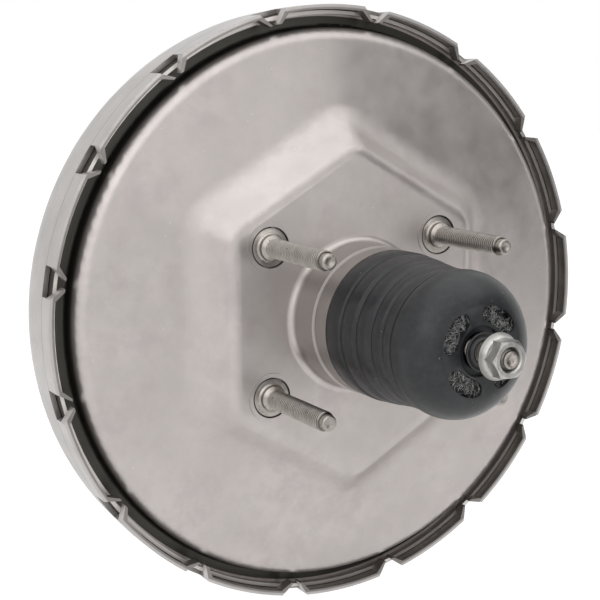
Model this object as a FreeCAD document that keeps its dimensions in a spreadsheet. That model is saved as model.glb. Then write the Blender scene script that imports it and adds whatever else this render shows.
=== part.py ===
import FreeCAD, Part
import math
import os
import Sketcher

# Vacuum brake booster, single diaphragm. Millimetres, Z up.
# The origin is the centre of the four firewall studs, on the face that meets the firewall.
# +Y points forward to the master cylinder, -Y back to the pedal.
# Every turned or drawn piece is an outline of (radius, y) corners spun about the Y axis.

os.makedirs("parts", exist_ok=True)
doc = FreeCAD.newDocument("brake_booster")

SIZES = {
    # front shell: drawn steel, its rim folded over the rear shell by lances
    "front_steel": 2.0,
    "rim_radius": 126.1,
    "rim_rear_y": 17.3,
    "rim_step": 0.8,
    "front_face_y": 65.0,
    "front_corner": 24.0,
    "nose_foot_radius": 64.0,
    "nose_radius": 56.0,
    "nose_face_y": 80.0,
    "collar_bore": 20.0,
    "collar_depth": 18.0,
    "collar_hole": 9.0,
    "collar_bend": 2.5,
    "lance_count": 16,
    "lance_width": 12.3,
    "lance_tip_gap": 2.8,
    "lance_depth": 6.6,
    "lance_slit": 0.7,
    "lance_skin": 0.25,
    "lance_root_bend": 0.5,
    "lance_tip_cut": 1.2,
    "lance_phase": 13.2,
    # rear shell: drawn steel disc with a six sided boss and a neck
    "rear_steel": 1.6,
    "flange_rear_y": 26.0,
    "flange_play": 0.2,
    "flange_width": 9.2,
    "flange_lip": 4.0,
    "disc_rear_y": 16.0,
    "disc_corner": 6.0,
    "disc_dish": 5.0,
    "dish_radius": 50.0,
    "boss_half_width": 56.0,
    "boss_slant_reach": 60.0,
    "boss_corner": 16.0,
    "boss_slope": 42.0,
    "boss_edge": 7.5,
    "boss_foot_blend": 20.0,
    "neck_radius": 30.3,
    "neck_root_blend": 3.0,
    "neck_groove_y": -15.8,
    "neck_groove_width": 2.4,
    "neck_groove_depth": 1.0,
    "neck_band_end_y": -25.6,
    "neck_spigot": 2.6,
    "neck_spigot_length": 6.0,
    "neck_lip": 3.6,
    # reinforcement plates and studs
    "plate_steel": 3.0,
    "stud_spacing_x": 80.0,
    "stud_spacing_z": 61.0,
    "stud_radius": 4.0,
    "stud_length": 46.8,
    "stud_shoulder_radius": 5.2,
    "stud_shoulder": 3.0,
    "stud_collar_radius": 7.9,
    "stud_hole_play": 0.4,
    "stud_head_radius": 7.0,
    "stud_head": 2.0,
    "stud_point_radius": 3.1,
    "stud_point": 2.8,
    "stud_ring_width": 1.8,
    "stud_ring_height": 0.35,
    "rear_plate_width": 97.0,
    "rear_plate_height": 77.0,
    "rear_plate_corner": 11.0,
    "front_plate_radius": 51.0,
    "front_stud_spacing": 84.0,
    "front_stud_length": 26.0,
    # power piston: moulded hub with a long tail through the neck
    "tail_inset": 8.3,
    "tail_wall": 2.2,
    "tail_end_y": -64.0,
    "hub_flange_radius": 42.0,
    "hub_flange_y": 8.5,
    "hub_flange": 3.0,
    "hub_spigot_radius": 30.0,
    "hub_front_y": 27.0,
    "hub_cup_wall": 2.0,
    "bore_radius": 7.0,
    "web_rear_y": -13.0,
    "vacuum_seat_radius": 13.2,
    "vacuum_seat_wall": 1.6,
    "vacuum_opening": 0.5,
    "passage_radius": 1.5,
    "passage_inset": 2.1,
    "passage_count": 4,
    "tail_step": 0.4,
    "valve_travel": 1.6,
    "running_gap": 0.3,
    "press_gap": 0.1,
    # stop key through the hub into the plunger's groove
    "key_width": 12.0,
    "key_thickness": 2.0,
    "key_overhang": 4.0,
    "key_fork": 5.5,
    "key_play": 0.2,
    "groove_radius": 4.5,
    # diaphragm, its plate and lock ring
    "rubber": 1.8,
    "bead_width": 5.2,
    "bead_length": 6.0,
    "lobe_y": 31.0,
    "plate_sheet": 1.2,
    "plate_step_radius": 46.0,
    "plate_foot_radius": 58.0,
    "plate_shell_gap": 0.5,
    "plate_clearance": 11.4,
    "plate_rim_front_y": 28.0,
    "plate_edge_bend": 3.0,
    "lock_ring_radius": 37.0,
    "lock_ring": 2.2,
    # reaction disc and output rod
    "reaction_radius": 13.7,
    "reaction_disc": 5.0,
    "output_foot": 3.6,
    "output_radius": 6.0,
    "output_end_y": 86.0,
    "screw_radius": 4.0,
    "screw_depth": 6.0,
    "screw_head_radius": 5.4,
    "screw_head": 7.0,
    "retainer_sheet": 0.8,
    "retainer_skirt": 7.0,
    # front seal
    "front_seal": 4.0,
    "seal_washer": 1.0,
    "seal_seat_step": 0.5,
    # valve plunger, input rod and poppet
    "plunger_head_radius": 9.6,
    "plunger_rear_y": -24.0,
    "ball_y": -18.0,
    "ball_radius": 5.4,
    "ball_play": 0.3,
    "socket_mouth": 4.4,
    "rod_neck": 3.4,
    "rod_neck_end_y": -26.0,
    "rod_collar": 1.0,
    "rod_collar_length": 2.0,
    "rod_chamfer": 0.8,
    "rod_radius": 4.6,
    "rod_thread_radius": 4.0,
    "rod_thread_start_y": -82.0,
    "rod_end_y": -103.6,
    "poppet_lip": 2.2,
    "poppet_bore": 7.2,
    "poppet_radius": 15.5,
    "poppet_wall": 1.6,
    "poppet_length": 9.0,
    "retainer_bore": 8.5,
    "retainer_length": 6.0,
    "washer_y": -50.0,
    "washer_thickness": 1.2,
    "washer_radius": 13.0,
    "filter_length": 10.4,
    "filter_bore": 6.4,
    "silencer_bore": 7.6,
    "silencer_shoulder": 6.6,
    # neck seal, its retainer and the guide bushing
    "seal_length": 9.0,
    "seal_lip": 3.0,
    "bushing_length": 6.0,
    # springs
    "return_wire": 3.8,
    "return_turns": 5.25,
    "return_coil_radius": 32.0,
    "valve_wire": 1.0,
    "valve_turns": 3.0,
    "valve_coil_radius": 10.6,
    "rod_wire": 1.4,
    "rod_turns": 4.0,
    "rod_coil_radius": 10.8,
    "check_wire": 0.6,
    "check_turns": 5.0,
    "check_coil_radius": 3.6,
    # dust boot, its hub grommet and the flange nut
    "boot_wall": 2.2,
    "boot_band_inset": 0.7,
    "boot_start_y": -25.9,
    "boot_first_fold_y": -35.6,
    "boot_second_fold_y": -44.7,
    "boot_third_fold_y": -53.5,
    "boot_fourth_fold_y": -60.8,
    "boot_last_fold_y": -67.3,
    "boot_fold_depth": 1.5,
    "boot_taper": 1.9,
    "boot_band_end_y": -33.0,
    "boot_ridge": 1.8,
    "boot_ridge_fall": 0.2,
    "boot_crest_fall": 0.4,
    "boot_groove_rise": 1.45,
    "boot_nose_inset": 19.0,
    "boot_nose_reach": 17.3,
    "boot_nose_depth": 19.6,
    "boot_nose_turn": 11.0,
    "boot_nose_end_turn": 70.0,
    "boot_end_y": -86.4,
    "boot_hub_recess": 2.1,
    "boot_hub_radius": 9.2,
    "boot_hole": 6.8,
    "vent_count": 4,
    "vent_inner_radius": 10.9,
    "vent_outer_radius": 16.6,
    "vent_half_angle": 27.0,
    "vent_phase": 55.0,
    "grommet_radius": 7.2,
    "grommet_stem": 4.9,
    "grommet_stem_length": 3.0,
    "grommet_flange": 1.7,
    "nut_flange_y": -95.2,
    "nut_height": 8.0,
    "nut_flange_radius": 8.7,
    "nut_flange": 1.7,
    "nut_across_flats": 13.0,
    "nut_corner_bevel": 1.0,
    # vacuum check valve
    "check_angle": 42.2,
    "grommet_hole": 9.0,
    "grommet_lip": 3.0,
    "grommet_lip_width": 2.6,
    "check_stem_radius": 6.4,
    "check_inner_end": 5.0,
    "check_body_radius": 10.0,
    "check_cavity_radius": 7.0,
    "check_cavity": 12.0,
    "check_wall": 2.4,
    "check_inlet_radius": 3.2,
    "check_disc_radius": 5.8,
    "check_disc": 1.5,
    "nozzle_radius": 4.8,
    "nozzle_bore": 3.0,
    "nozzle_length": 36.0,
    "nozzle_barb": 0.9,
    "nozzle_barb_pitch": 5.0,
    "nozzle_barb_count": 3,
    "nozzle_tip_length": 4.0,
}

sheet = doc.addObject("Spreadsheet::Sheet", "Sizes")
for row, (word, amount) in enumerate(SIZES.items(), start=1):
    sheet.set(f"A{row}", word)
    sheet.set(f"B{row}", str(amount))
    sheet.setAlias(f"B{row}", word)
doc.recompute()


class Length:
    """A size of the sheet, or a sum of such sizes: its value and the formula behind it."""

    def __init__(self, value, formula):
        self.value = value
        self.formula = formula

    def joined(self, sign, other, value):
        right = other.formula if isinstance(other, Length) else str(other)
        return Length(value, f"({self.formula} {sign} {right})")

    def __add__(self, other):
        return self.joined("+", other, self.value + amount_of(other))

    def __sub__(self, other):
        return self.joined("-", other, self.value - amount_of(other))

    def __mul__(self, other):
        return self.joined("*", other, self.value * amount_of(other))

    def __truediv__(self, other):
        return self.joined("/", other, self.value / amount_of(other))

    def __neg__(self):
        return Length(-self.value, f"(-{self.formula})")


def amount_of(size):
    return size.value if isinstance(size, Length) else float(size)


def along(length, angle):
    """The part of a length that lies along the axis its angle in degrees is counted from."""
    value = length.value * math.cos(math.radians(angle.value))
    return Length(value, f"({length.formula} * cos({angle.formula} * 1 deg))")


def across(length, angle):
    """The part of a length that lies across that axis."""
    value = length.value * math.sin(math.radians(angle.value))
    return Length(value, f"({length.formula} * sin({angle.formula} * 1 deg))")


class Book:
    """Hands out the sheet's sizes by their words."""

    def __getattr__(self, word):
        return Length(float(SIZES[word]), f"Sizes.{word}")


z = Book()
AXIS = Length(0.0, "0")


def tie(item, path, size):
    """Set a property now and keep it bound to the sheet."""
    if isinstance(size, Length):
        item.setExpression(path, size.formula)


def new_body(node):
    body = doc.addObject("PartDesign::Body", node)
    body.Label = node
    body.AllowCompound = True
    return body


def plane_of(body, role):
    for feature in body.Origin.OriginFeatures:
        if feature.Role == role:
            return (feature, [""])


def tie_offset(item, shift, angle=0):
    """Place an item on its plane and keep the place bound to the sheet."""
    amounts = [amount_of(part) for part in shift]
    turned = FreeCAD.Rotation(FreeCAD.Vector(0, 0, 1), angle)
    item.AttachmentOffset = FreeCAD.Placement(FreeCAD.Vector(*amounts), turned)
    for letter, part in zip("xyz", shift):
        tie(item, f".AttachmentOffset.Base.{letter}", part)


def new_sketch(body, name, role, shift=(0, 0, 0), turn=None):
    """A sketch on one of the body's own planes, shifted within and out of that plane."""
    sketch = body.newObject("Sketcher::SketchObject", f"{body.Name}_{name}")
    sketch.AttachmentSupport = plane_of(body, role)
    sketch.MapMode = "FlatFace"
    tie_offset(sketch, shift, amount_of(turn) if turn else 0)
    if turn:
        sketch.setExpression(".AttachmentOffset.Rotation.Angle", turn.formula)
    return sketch


def draw_outline(sketch, corners):
    """A closed run of straight lines through corners whose places are bound to the sheet."""
    first = sketch.GeometryCount
    points = [FreeCAD.Vector(amount_of(u), amount_of(v), 0) for u, v in corners]
    count = len(points)
    lines = [Part.LineSegment(points[i], points[(i + 1) % count]) for i in range(count)]
    sketch.addGeometry(lines, False)
    joints = []
    for i in range(count):
        joints.append(Sketcher.Constraint("Coincident", first + i, 2, first + (i + 1) % count, 1))
    sketch.addConstraint(joints)
    for i, (u, v) in enumerate(corners):
        for kind, size in (("DistanceX", u), ("DistanceY", v)):
            place = Sketcher.Constraint(kind, -1, 1, first + i, 1, amount_of(size))
            index = sketch.addConstraint(place)
            if isinstance(size, Length) and size is not AXIS:
                sketch.setExpression(f"Constraints[{index}]", size.formula)


def draw_circle(sketch, u, v, radius):
    middle = FreeCAD.Vector(amount_of(u), amount_of(v), 0)
    upward = FreeCAD.Vector(0, 0, 1)
    circle = sketch.addGeometry(Part.Circle(middle, upward, amount_of(radius)), False)
    places = (("DistanceX", u), ("DistanceY", v))
    for kind, size in places:
        index = sketch.addConstraint(Sketcher.Constraint(kind, -1, 1, circle, 3, amount_of(size)))
        if isinstance(size, Length) and size is not AXIS:
            sketch.setExpression(f"Constraints[{index}]", size.formula)
    index = sketch.addConstraint(Sketcher.Constraint("Radius", circle, amount_of(radius)))
    tie(sketch, f"Constraints[{index}]", radius)


def spin(body, name, corners, cut=False, shift=(0, 0, 0), axis="V_Axis"):
    """Turn an outline of (radius, y) corners about the Y axis, as metal added or taken."""
    sketch = new_sketch(body, f"{name}_outline", "XY_Plane", shift)
    draw_outline(sketch, corners)
    kind = "PartDesign::Groove" if cut else "PartDesign::Revolution"
    feature = body.newObject(kind, f"{body.Name}_{name}")
    feature.Profile = sketch
    feature.ReferenceAxis = (sketch, [axis])
    feature.Angle = 360
    doc.recompute()
    return feature


def push(body, name, sketch, length, cut=False, backwards=False):
    """Raise a sketch into metal, or sink it as a pocket, by a length of the sheet."""
    kind = "PartDesign::Pocket" if cut else "PartDesign::Pad"
    feature = body.newObject(kind, f"{body.Name}_{name}")
    feature.Profile = sketch
    feature.Length = amount_of(length)
    tie(feature, "Length", length)
    feature.Reversed = backwards
    doc.recompute()
    return feature


def ring_edges(shape, radius, y):
    """Names of the full circles of that radius about the Y axis at that height along it."""
    names = []
    for number, edge in enumerate(shape.Edges, start=1):
        curve = edge.Curve
        if not isinstance(curve, Part.Circle):
            continue
        same_size = abs(curve.Radius - amount_of(radius)) < 1e-4
        middle = curve.Center
        centred = abs(middle.x) < 1e-4 and abs(middle.z) < 1e-4
        if same_size and centred and abs(middle.y - amount_of(y)) < 1e-4:
            names.append(f"Edge{number}")
    return names


def round_edges(body, name, names, radius):
    base = body.Tip
    fillet = body.newObject("PartDesign::Fillet", f"{body.Name}_{name}")
    fillet.Base = (base, names)
    fillet.Radius = amount_of(radius)
    tie(fillet, "Radius", radius)
    doc.recompute()
    return fillet


def round_rings(body, name, rings, radius):
    """Round the circular corners given as (radius, y)."""
    names = []
    for ring_radius, y in rings:
        names += ring_edges(body.Tip.Shape, ring_radius, y)
    return round_edges(body, name, names, radius)


def repeat_round(body, name, features, count):
    """Repeat features about the Y axis."""
    pattern = body.newObject("PartDesign::PolarPattern", f"{body.Name}_{name}")
    pattern.Originals = features
    for axis in body.Origin.OriginFeatures:
        if axis.Role == "Y_Axis":
            pattern.Axis = (axis, [""])
    pattern.Angle = 360
    pattern.Occurrences = int(amount_of(count))
    tie(pattern, "Occurrences", count)
    body.Tip = pattern
    doc.recompute()
    return pattern


# Places that several pieces share

wall_radius = z.rim_radius - z.rim_step
disc_radius = z.rim_radius - z.flange_width
plate_radius = disc_radius - z.plate_clearance
lip_rear_y = z.flange_rear_y - z.flange_lip
step_y = z.flange_rear_y + z.rear_steel
nose_inner_y = z.nose_face_y - z.front_steel
collar_floor_y = z.nose_face_y - z.collar_depth
seal_stack_y = collar_floor_y + z.front_seal + z.seal_washer
dish_y = z.disc_rear_y - z.disc_dish
neck_bore = z.neck_radius - z.rear_steel
rear_plate_y = z.rear_steel
diaphragm_hub_y = z.hub_flange_y + z.hub_flange
plate_hub_y = diaphragm_hub_y + z.rubber
lock_ring_y = plate_hub_y + z.plate_sheet
spring_seat_y = lock_ring_y + z.lock_ring
front_plate_y = nose_inner_y - z.plate_steel
tail_radius = z.neck_radius - z.tail_inset
tail_bore = tail_radius - z.tail_wall
key_reach = tail_radius + z.key_overhang
boot_band_radius = z.neck_radius - z.boot_band_inset
boot_nose_centre = boot_band_radius - z.boot_nose_inset
cup_floor_y = z.hub_front_y - z.output_foot - z.reaction_disc
retainer_front_y = z.neck_groove_y + z.seal_length + z.seal_washer
key_rear_y = retainer_front_y + z.running_gap
vacuum_seat_y = z.plunger_rear_y + z.vacuum_opening
retainer_web_y = z.plunger_rear_y - z.poppet_length - z.running_gap
poppet_flange_y = retainer_web_y + z.poppet_lip
boot_inner_end_y = z.boot_end_y + z.boot_wall
check_seat_y = z.front_face_y + z.grommet_lip + z.check_wall
dish_slope = z.disc_dish / (disc_radius - z.dish_radius)
rubber_rear_y = dish_y + z.rear_steel + z.plate_shell_gap
plate_foot_y = rubber_rear_y + z.rubber + (z.plate_foot_radius - z.dish_radius) * dish_slope
plate_edge_y = plate_foot_y + (plate_radius - z.plate_foot_radius) * dish_slope
check_reach = (z.nose_foot_radius + wall_radius - z.front_corner) / 2
check_x = along(check_reach, z.check_angle)
check_z = across(check_reach, z.check_angle)


def front_shell():
    body = new_body("front_shell")
    inner_rim = z.rim_radius - z.front_steel
    inner_wall = wall_radius - z.front_steel
    inner_face = z.front_face_y - z.front_steel
    collar_outer = z.collar_bore + z.front_steel
    spin(body, "sheet", [
        (z.rim_radius, z.rim_rear_y),
        (z.rim_radius, step_y - z.rim_step),
        (wall_radius, step_y),
        (wall_radius, z.front_face_y),
        (z.nose_foot_radius, z.front_face_y),
        (z.nose_radius, z.nose_face_y),
        (z.collar_bore, z.nose_face_y),
        (z.collar_bore, seal_stack_y),
        (z.collar_bore - z.seal_seat_step, seal_stack_y),
        (z.collar_bore - z.seal_seat_step, collar_floor_y),
        (z.collar_hole, collar_floor_y),
        (z.collar_hole, collar_floor_y - z.front_steel),
        (collar_outer, collar_floor_y - z.front_steel),
        (collar_outer, nose_inner_y),
        (z.nose_radius - z.front_steel / 2, nose_inner_y),
        (z.nose_foot_radius - z.front_steel / 2, inner_face),
        (inner_wall, inner_face),
        (inner_wall, step_y),
        (inner_rim, step_y),
        (inner_rim, z.rim_rear_y),
    ])
    round_rings(body, "shoulder", [(wall_radius, z.front_face_y)], z.front_corner)
    round_rings(body, "shoulder_inside", [(inner_wall, inner_face)], z.front_corner - z.front_steel)
    nose_rings = [(z.nose_foot_radius, z.front_face_y), (z.nose_radius, z.nose_face_y)]
    round_rings(body, "nose_bends", nose_rings, z.collar_bend * 2)
    round_rings(body, "collar_bend", [(z.collar_bore, z.nose_face_y)], z.front_steel / 2)
    valve_hole = new_sketch(body, "valve_hole_outline", "XZ_Plane", (AXIS, AXIS, -z.front_face_y))
    draw_circle(valve_hole, check_x, check_z, z.grommet_hole)
    push(body, "valve_hole", valve_hole, z.front_steel, cut=True, backwards=True)
    stud_holes = new_sketch(body, "stud_holes_outline", "XZ_Plane", (AXIS, AXIS, -z.nose_face_y))
    for side in (-1, 1):
        draw_circle(stud_holes, z.front_stud_spacing / 2 * side, AXIS, z.stud_shoulder_radius)
    push(body, "stud_holes", stud_holes, z.front_steel, cut=True, backwards=True)
    lances(body, inner_rim)
    return body


def lances(body, inner_rim):
    """Cut the rim at each lance and bend the two cut ends inward over the rear shell's lip."""
    window_depth = z.flange_rear_y + z.lance_slit - z.rim_rear_y
    half_width = z.lance_width / 2
    half_gap = z.lance_tip_gap / 2
    half_steel = z.front_steel / 2
    tip = inner_rim - z.lance_depth + z.front_steel
    flap_outside = z.rim_radius - z.lance_skin
    bend_inside = inner_rim - z.lance_root_bend
    window = new_sketch(body, "window_outline", "XZ_Plane", (AXIS, AXIS, -z.rim_rear_y), z.lance_phase)
    draw_outline(window, [
        (inner_rim - z.front_steel, -half_width),
        (z.rim_radius + z.front_steel, -half_width),
        (z.rim_radius + z.front_steel, half_width),
        (inner_rim - z.front_steel, half_width),
    ])
    gap = push(body, "window", window, window_depth, cut=True)
    flap_sketch = new_sketch(body, "flap_outline", "XZ_Plane", (AXIS, AXIS, -z.rim_rear_y), z.lance_phase)
    for side in (-1, 1):
        root = half_width * side
        end = half_gap * side
        draw_outline(flap_sketch, [
            (inner_rim, root + half_steel * side),
            (flap_outside, root + half_steel * side),
            (flap_outside, root),
            (tip + half_steel, end),
            (tip - half_steel, end + z.lance_tip_cut * side),
            (bend_inside, root + z.lance_root_bend * side),
        ])
    flaps = push(body, "flaps", flap_sketch, lip_rear_y - z.rim_rear_y, cut=False, backwards=True)
    repeat_round(body, "windows_round", [gap, flaps], z.lance_count)


def hexagon(sketch, inset):
    """The boss outline: upright sides left and right, slanted sides that meet above and below."""
    half = z.boss_half_width - inset
    slant = z.boss_slant_reach - inset
    sine = math.sin(math.radians(60))
    apex = slant / sine
    shoulder = (slant - half / 2) / sine
    draw_outline(sketch, [
        (half, shoulder),
        (AXIS, apex),
        (-half, shoulder),
        (-half, -shoulder),
        (AXIS, -apex),
        (half, -shoulder),
    ])


def upright_edges(shape, y_low, y_high):
    """Edges that run from one height to the other: the boss's six corners."""
    names = []
    for number, edge in enumerate(shape.Edges, start=1):
        heights = sorted(vertex.Point.y for vertex in edge.Vertexes)
        if len(heights) == 2 and abs(heights[0] - y_low) < 1e-4 and abs(heights[1] - y_high) < 1e-4:
            names.append(f"Edge{number}")
    return names


def flat_edges(shape, y, reach):
    """Edges that lie in one plane across the Y axis, further out than reach."""
    names = []
    for number, edge in enumerate(shape.Edges, start=1):
        box = edge.BoundBox
        outside = math.hypot(edge.CenterOfMass.x, edge.CenterOfMass.z) > reach
        if abs(box.YMin - y) < 1e-4 and abs(box.YMax - y) < 1e-4 and outside:
            names.append(f"Edge{number}")
    return names


def foot_edges(shape, y_low, y_high, reach_low, reach_high):
    """Edges where the boss's slope runs out on the dished disc."""
    names = []
    for number, edge in enumerate(shape.Edges, start=1):
        box = edge.BoundBox
        middle = edge.valueAt((edge.FirstParameter + edge.LastParameter) / 2)
        reach = math.hypot(middle.x, middle.z)
        above = box.YMin > amount_of(y_low)
        below = box.YMax < amount_of(y_high)
        if above and below and amount_of(reach_low) < reach < amount_of(reach_high):
            names.append(f"Edge{number}")
    return names


def taper(feature):
    feature.TaperAngle = amount_of(z.boss_slope)
    tie(feature, "TaperAngle", z.boss_slope)
    doc.recompute()


def rear_shell():
    body = new_body("rear_shell")
    flange_radius = z.rim_radius - z.front_steel - z.flange_play
    lip_inside = flange_radius - z.rear_steel
    boss_height = z.disc_rear_y + z.rear_steel
    frustum = new_sketch(body, "boss_outline", "XZ_Plane")
    hexagon(frustum, AXIS)
    boss = push(body, "boss", frustum, boss_height, backwards=True)
    taper(boss)
    corners = upright_edges(boss.Shape, 0.0, boss_height.value)
    round_edges(body, "boss_corners", corners, z.boss_corner)
    round_edges(body, "boss_edge", flat_edges(body.Tip.Shape, 0.0, 0.0), z.boss_edge)
    disc_inner = disc_radius - z.rear_steel
    spin(body, "disc", [
        (AXIS, dish_y),
        (z.dish_radius, dish_y),
        (disc_radius, z.disc_rear_y),
        (disc_radius, z.flange_rear_y),
        (lip_inside, z.flange_rear_y),
        (lip_inside, lip_rear_y),
        (flange_radius, lip_rear_y),
        (flange_radius, step_y),
        (disc_inner, step_y),
        (AXIS, step_y),
    ])
    foot_rear_y = dish_y - z.rear_steel / 2
    foot_reach = disc_radius - z.disc_corner
    feet = foot_edges(body.Tip.Shape, foot_rear_y, z.disc_rear_y, z.dish_radius, foot_reach)
    round_edges(body, "boss_foot", feet, z.boss_foot_blend)
    round_rings(body, "disc_corner", [(disc_radius, z.disc_rear_y)], z.disc_corner)
    round_rings(body, "flange_root", [(disc_radius, z.flange_rear_y)], z.rear_steel)
    spin(body, "hollow", [
        (AXIS, dish_y + z.rear_steel),
        (z.dish_radius, dish_y + z.rear_steel),
        (disc_inner, z.disc_rear_y + z.rear_steel),
        (disc_inner, step_y),
        (AXIS, step_y),
    ], cut=True)
    cavity = new_sketch(body, "boss_hollow_outline", "XZ_Plane", (AXIS, AXIS, -z.rear_steel))
    hexagon(cavity, z.rear_steel)
    hollow = push(body, "boss_hollow", cavity, boss_height, cut=True)
    taper(hollow)
    foot_rear_y = dish_y + z.rear_steel / 2
    feet = foot_edges(body.Tip.Shape, foot_rear_y, boss_height, z.dish_radius, foot_reach)
    round_edges(body, "boss_foot_inside", feet, z.boss_foot_blend)
    groove_end = z.neck_groove_y - z.neck_groove_width
    groove_radius = z.neck_radius - z.neck_groove_depth
    band_radius = z.neck_radius - z.neck_groove_depth / 2
    spigot_radius = z.neck_radius - z.neck_spigot
    spigot_end = z.neck_band_end_y - z.neck_spigot_length
    spin(body, "neck", [
        (neck_bore, z.rear_steel),
        (z.neck_radius, z.rear_steel),
        (z.neck_radius, z.neck_groove_y),
        (groove_radius, z.neck_groove_y - z.neck_groove_depth / 2),
        (groove_radius, groove_end + z.neck_groove_depth / 2),
        (band_radius, groove_end),
        (band_radius, z.neck_band_end_y),
        (spigot_radius, z.neck_band_end_y),
        (spigot_radius, spigot_end),
        (spigot_radius - z.neck_lip, spigot_end),
        (spigot_radius - z.neck_lip, spigot_end + z.rear_steel),
        (spigot_radius - z.rear_steel, spigot_end + z.rear_steel),
        (spigot_radius - z.rear_steel, z.neck_band_end_y + z.rear_steel),
        (neck_bore - z.neck_groove_depth, z.neck_band_end_y + z.rear_steel),
        (neck_bore - z.neck_groove_depth, z.neck_groove_y),
        (neck_bore, z.neck_groove_y),
    ])
    round_rings(body, "neck_root", [(z.neck_radius, AXIS)], z.neck_root_blend)
    spin(body, "neck_hole", [
        (AXIS, -z.neck_root_blend),
        (neck_bore, -z.neck_root_blend),
        (neck_bore, z.rear_steel * 2),
        (AXIS, z.rear_steel * 2),
    ], cut=True)
    rings = new_sketch(body, "stud_rings_outline", "XZ_Plane")
    holes = new_sketch(body, "stud_holes_outline", "XZ_Plane")
    hole_radius = z.stud_collar_radius + z.stud_hole_play
    for side_x in (-1, 1):
        for side_z in (-1, 1):
            x = z.stud_spacing_x / 2 * side_x
            height = z.stud_spacing_z / 2 * side_z
            draw_circle(rings, x, height, hole_radius + z.stud_ring_width)
            draw_circle(rings, x, height, hole_radius)
            draw_circle(holes, x, height, hole_radius)
    push(body, "stud_rings", rings, z.stud_ring_height)
    push(body, "stud_holes", holes, z.rear_steel, cut=True)
    return body


def rear_reinforcement_plate():
    """Flat plate inside the boss that the firewall studs are pressed through."""
    body = new_body("rear_reinforcement_plate")
    sketch = new_sketch(body, "plate_outline", "XZ_Plane", (AXIS, AXIS, -rear_plate_y))
    half_width = z.rear_plate_width / 2
    half_height = z.rear_plate_height / 2
    draw_outline(sketch, [
        (half_width, half_height),
        (-half_width, half_height),
        (-half_width, -half_height),
        (half_width, -half_height),
    ])
    draw_circle(sketch, AXIS, AXIS, neck_bore)
    for x, height in firewall_stud_places():
        draw_circle(sketch, x, height, z.stud_shoulder_radius)
    push(body, "plate", sketch, z.plate_steel, backwards=True)
    front = rear_plate_y + z.plate_steel
    corners = upright_edges(body.Tip.Shape, rear_plate_y.value, front.value)
    corners = [name for name in corners if is_straight(body.Tip.Shape, name)]
    round_edges(body, "corners", corners, z.rear_plate_corner)


def is_straight(shape, name):
    return isinstance(shape.getElement(name).Curve, Part.Line)


def firewall_stud_places():
    places = []
    for side_x in (-1, 1):
        for side_z in (-1, 1):
            places.append((z.stud_spacing_x / 2 * side_x, z.stud_spacing_z / 2 * side_z))
    return places


def firewall_studs():
    """Four studs: riveted head, knurled shank in the plate, collar in the shell, threaded end."""
    body = new_body("firewall_studs")
    plate_front = rear_plate_y + z.plate_steel
    point_root = z.stud_point - z.stud_length
    for number, (x, height) in enumerate(firewall_stud_places(), start=1):
        spin(body, f"stud_{number}", [
            (AXIS, -z.stud_length),
            (z.stud_point_radius, -z.stud_length),
            (z.stud_point_radius, point_root),
            (z.stud_radius, point_root + z.stud_radius - z.stud_point_radius),
            (z.stud_radius, -z.stud_shoulder),
            (z.stud_shoulder_radius, -z.stud_shoulder),
            (z.stud_shoulder_radius, AXIS),
            (z.stud_collar_radius, AXIS),
            (z.stud_collar_radius, rear_plate_y),
            (z.stud_shoulder_radius, rear_plate_y),
            (z.stud_shoulder_radius, plate_front),
            (z.stud_head_radius, plate_front),
            (z.stud_head_radius, plate_front + z.stud_head),
            (AXIS, plate_front + z.stud_head),
        ], shift=(x, AXIS, height))


def front_reinforcement_plate():
    """Round plate behind the master cylinder face, with the collar through its middle."""
    body = new_body("front_reinforcement_plate")
    spin(body, "plate", [
        (z.collar_bore + z.front_steel + z.press_gap, front_plate_y),
        (z.front_plate_radius, front_plate_y),
        (z.front_plate_radius, nose_inner_y),
        (z.collar_bore + z.front_steel + z.press_gap, nose_inner_y),
    ])
    holes = new_sketch(body, "stud_holes_outline", "XZ_Plane", (AXIS, AXIS, -front_plate_y))
    for side in (-1, 1):
        draw_circle(holes, z.front_stud_spacing / 2 * side, AXIS, z.stud_shoulder_radius)
    push(body, "stud_holes", holes, z.plate_steel, cut=True)


def master_cylinder_studs():
    """Two studs pressed through the front plate, for the master cylinder's flange."""
    body = new_body("master_cylinder_studs")
    end = z.nose_face_y + z.front_stud_length
    bevel = z.stud_radius - z.stud_point_radius
    for number, side in enumerate((-1, 1), start=1):
        spin(body, f"stud_{number}", [
            (AXIS, front_plate_y - z.stud_head),
            (z.stud_head_radius, front_plate_y - z.stud_head),
            (z.stud_head_radius, front_plate_y),
            (z.stud_shoulder_radius, front_plate_y),
            (z.stud_shoulder_radius, z.nose_face_y),
            (z.stud_radius, z.nose_face_y),
            (z.stud_radius, end - bevel),
            (z.stud_point_radius, end),
            (AXIS, end),
        ], shift=(z.front_stud_spacing / 2 * side, AXIS, AXIS))


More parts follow.
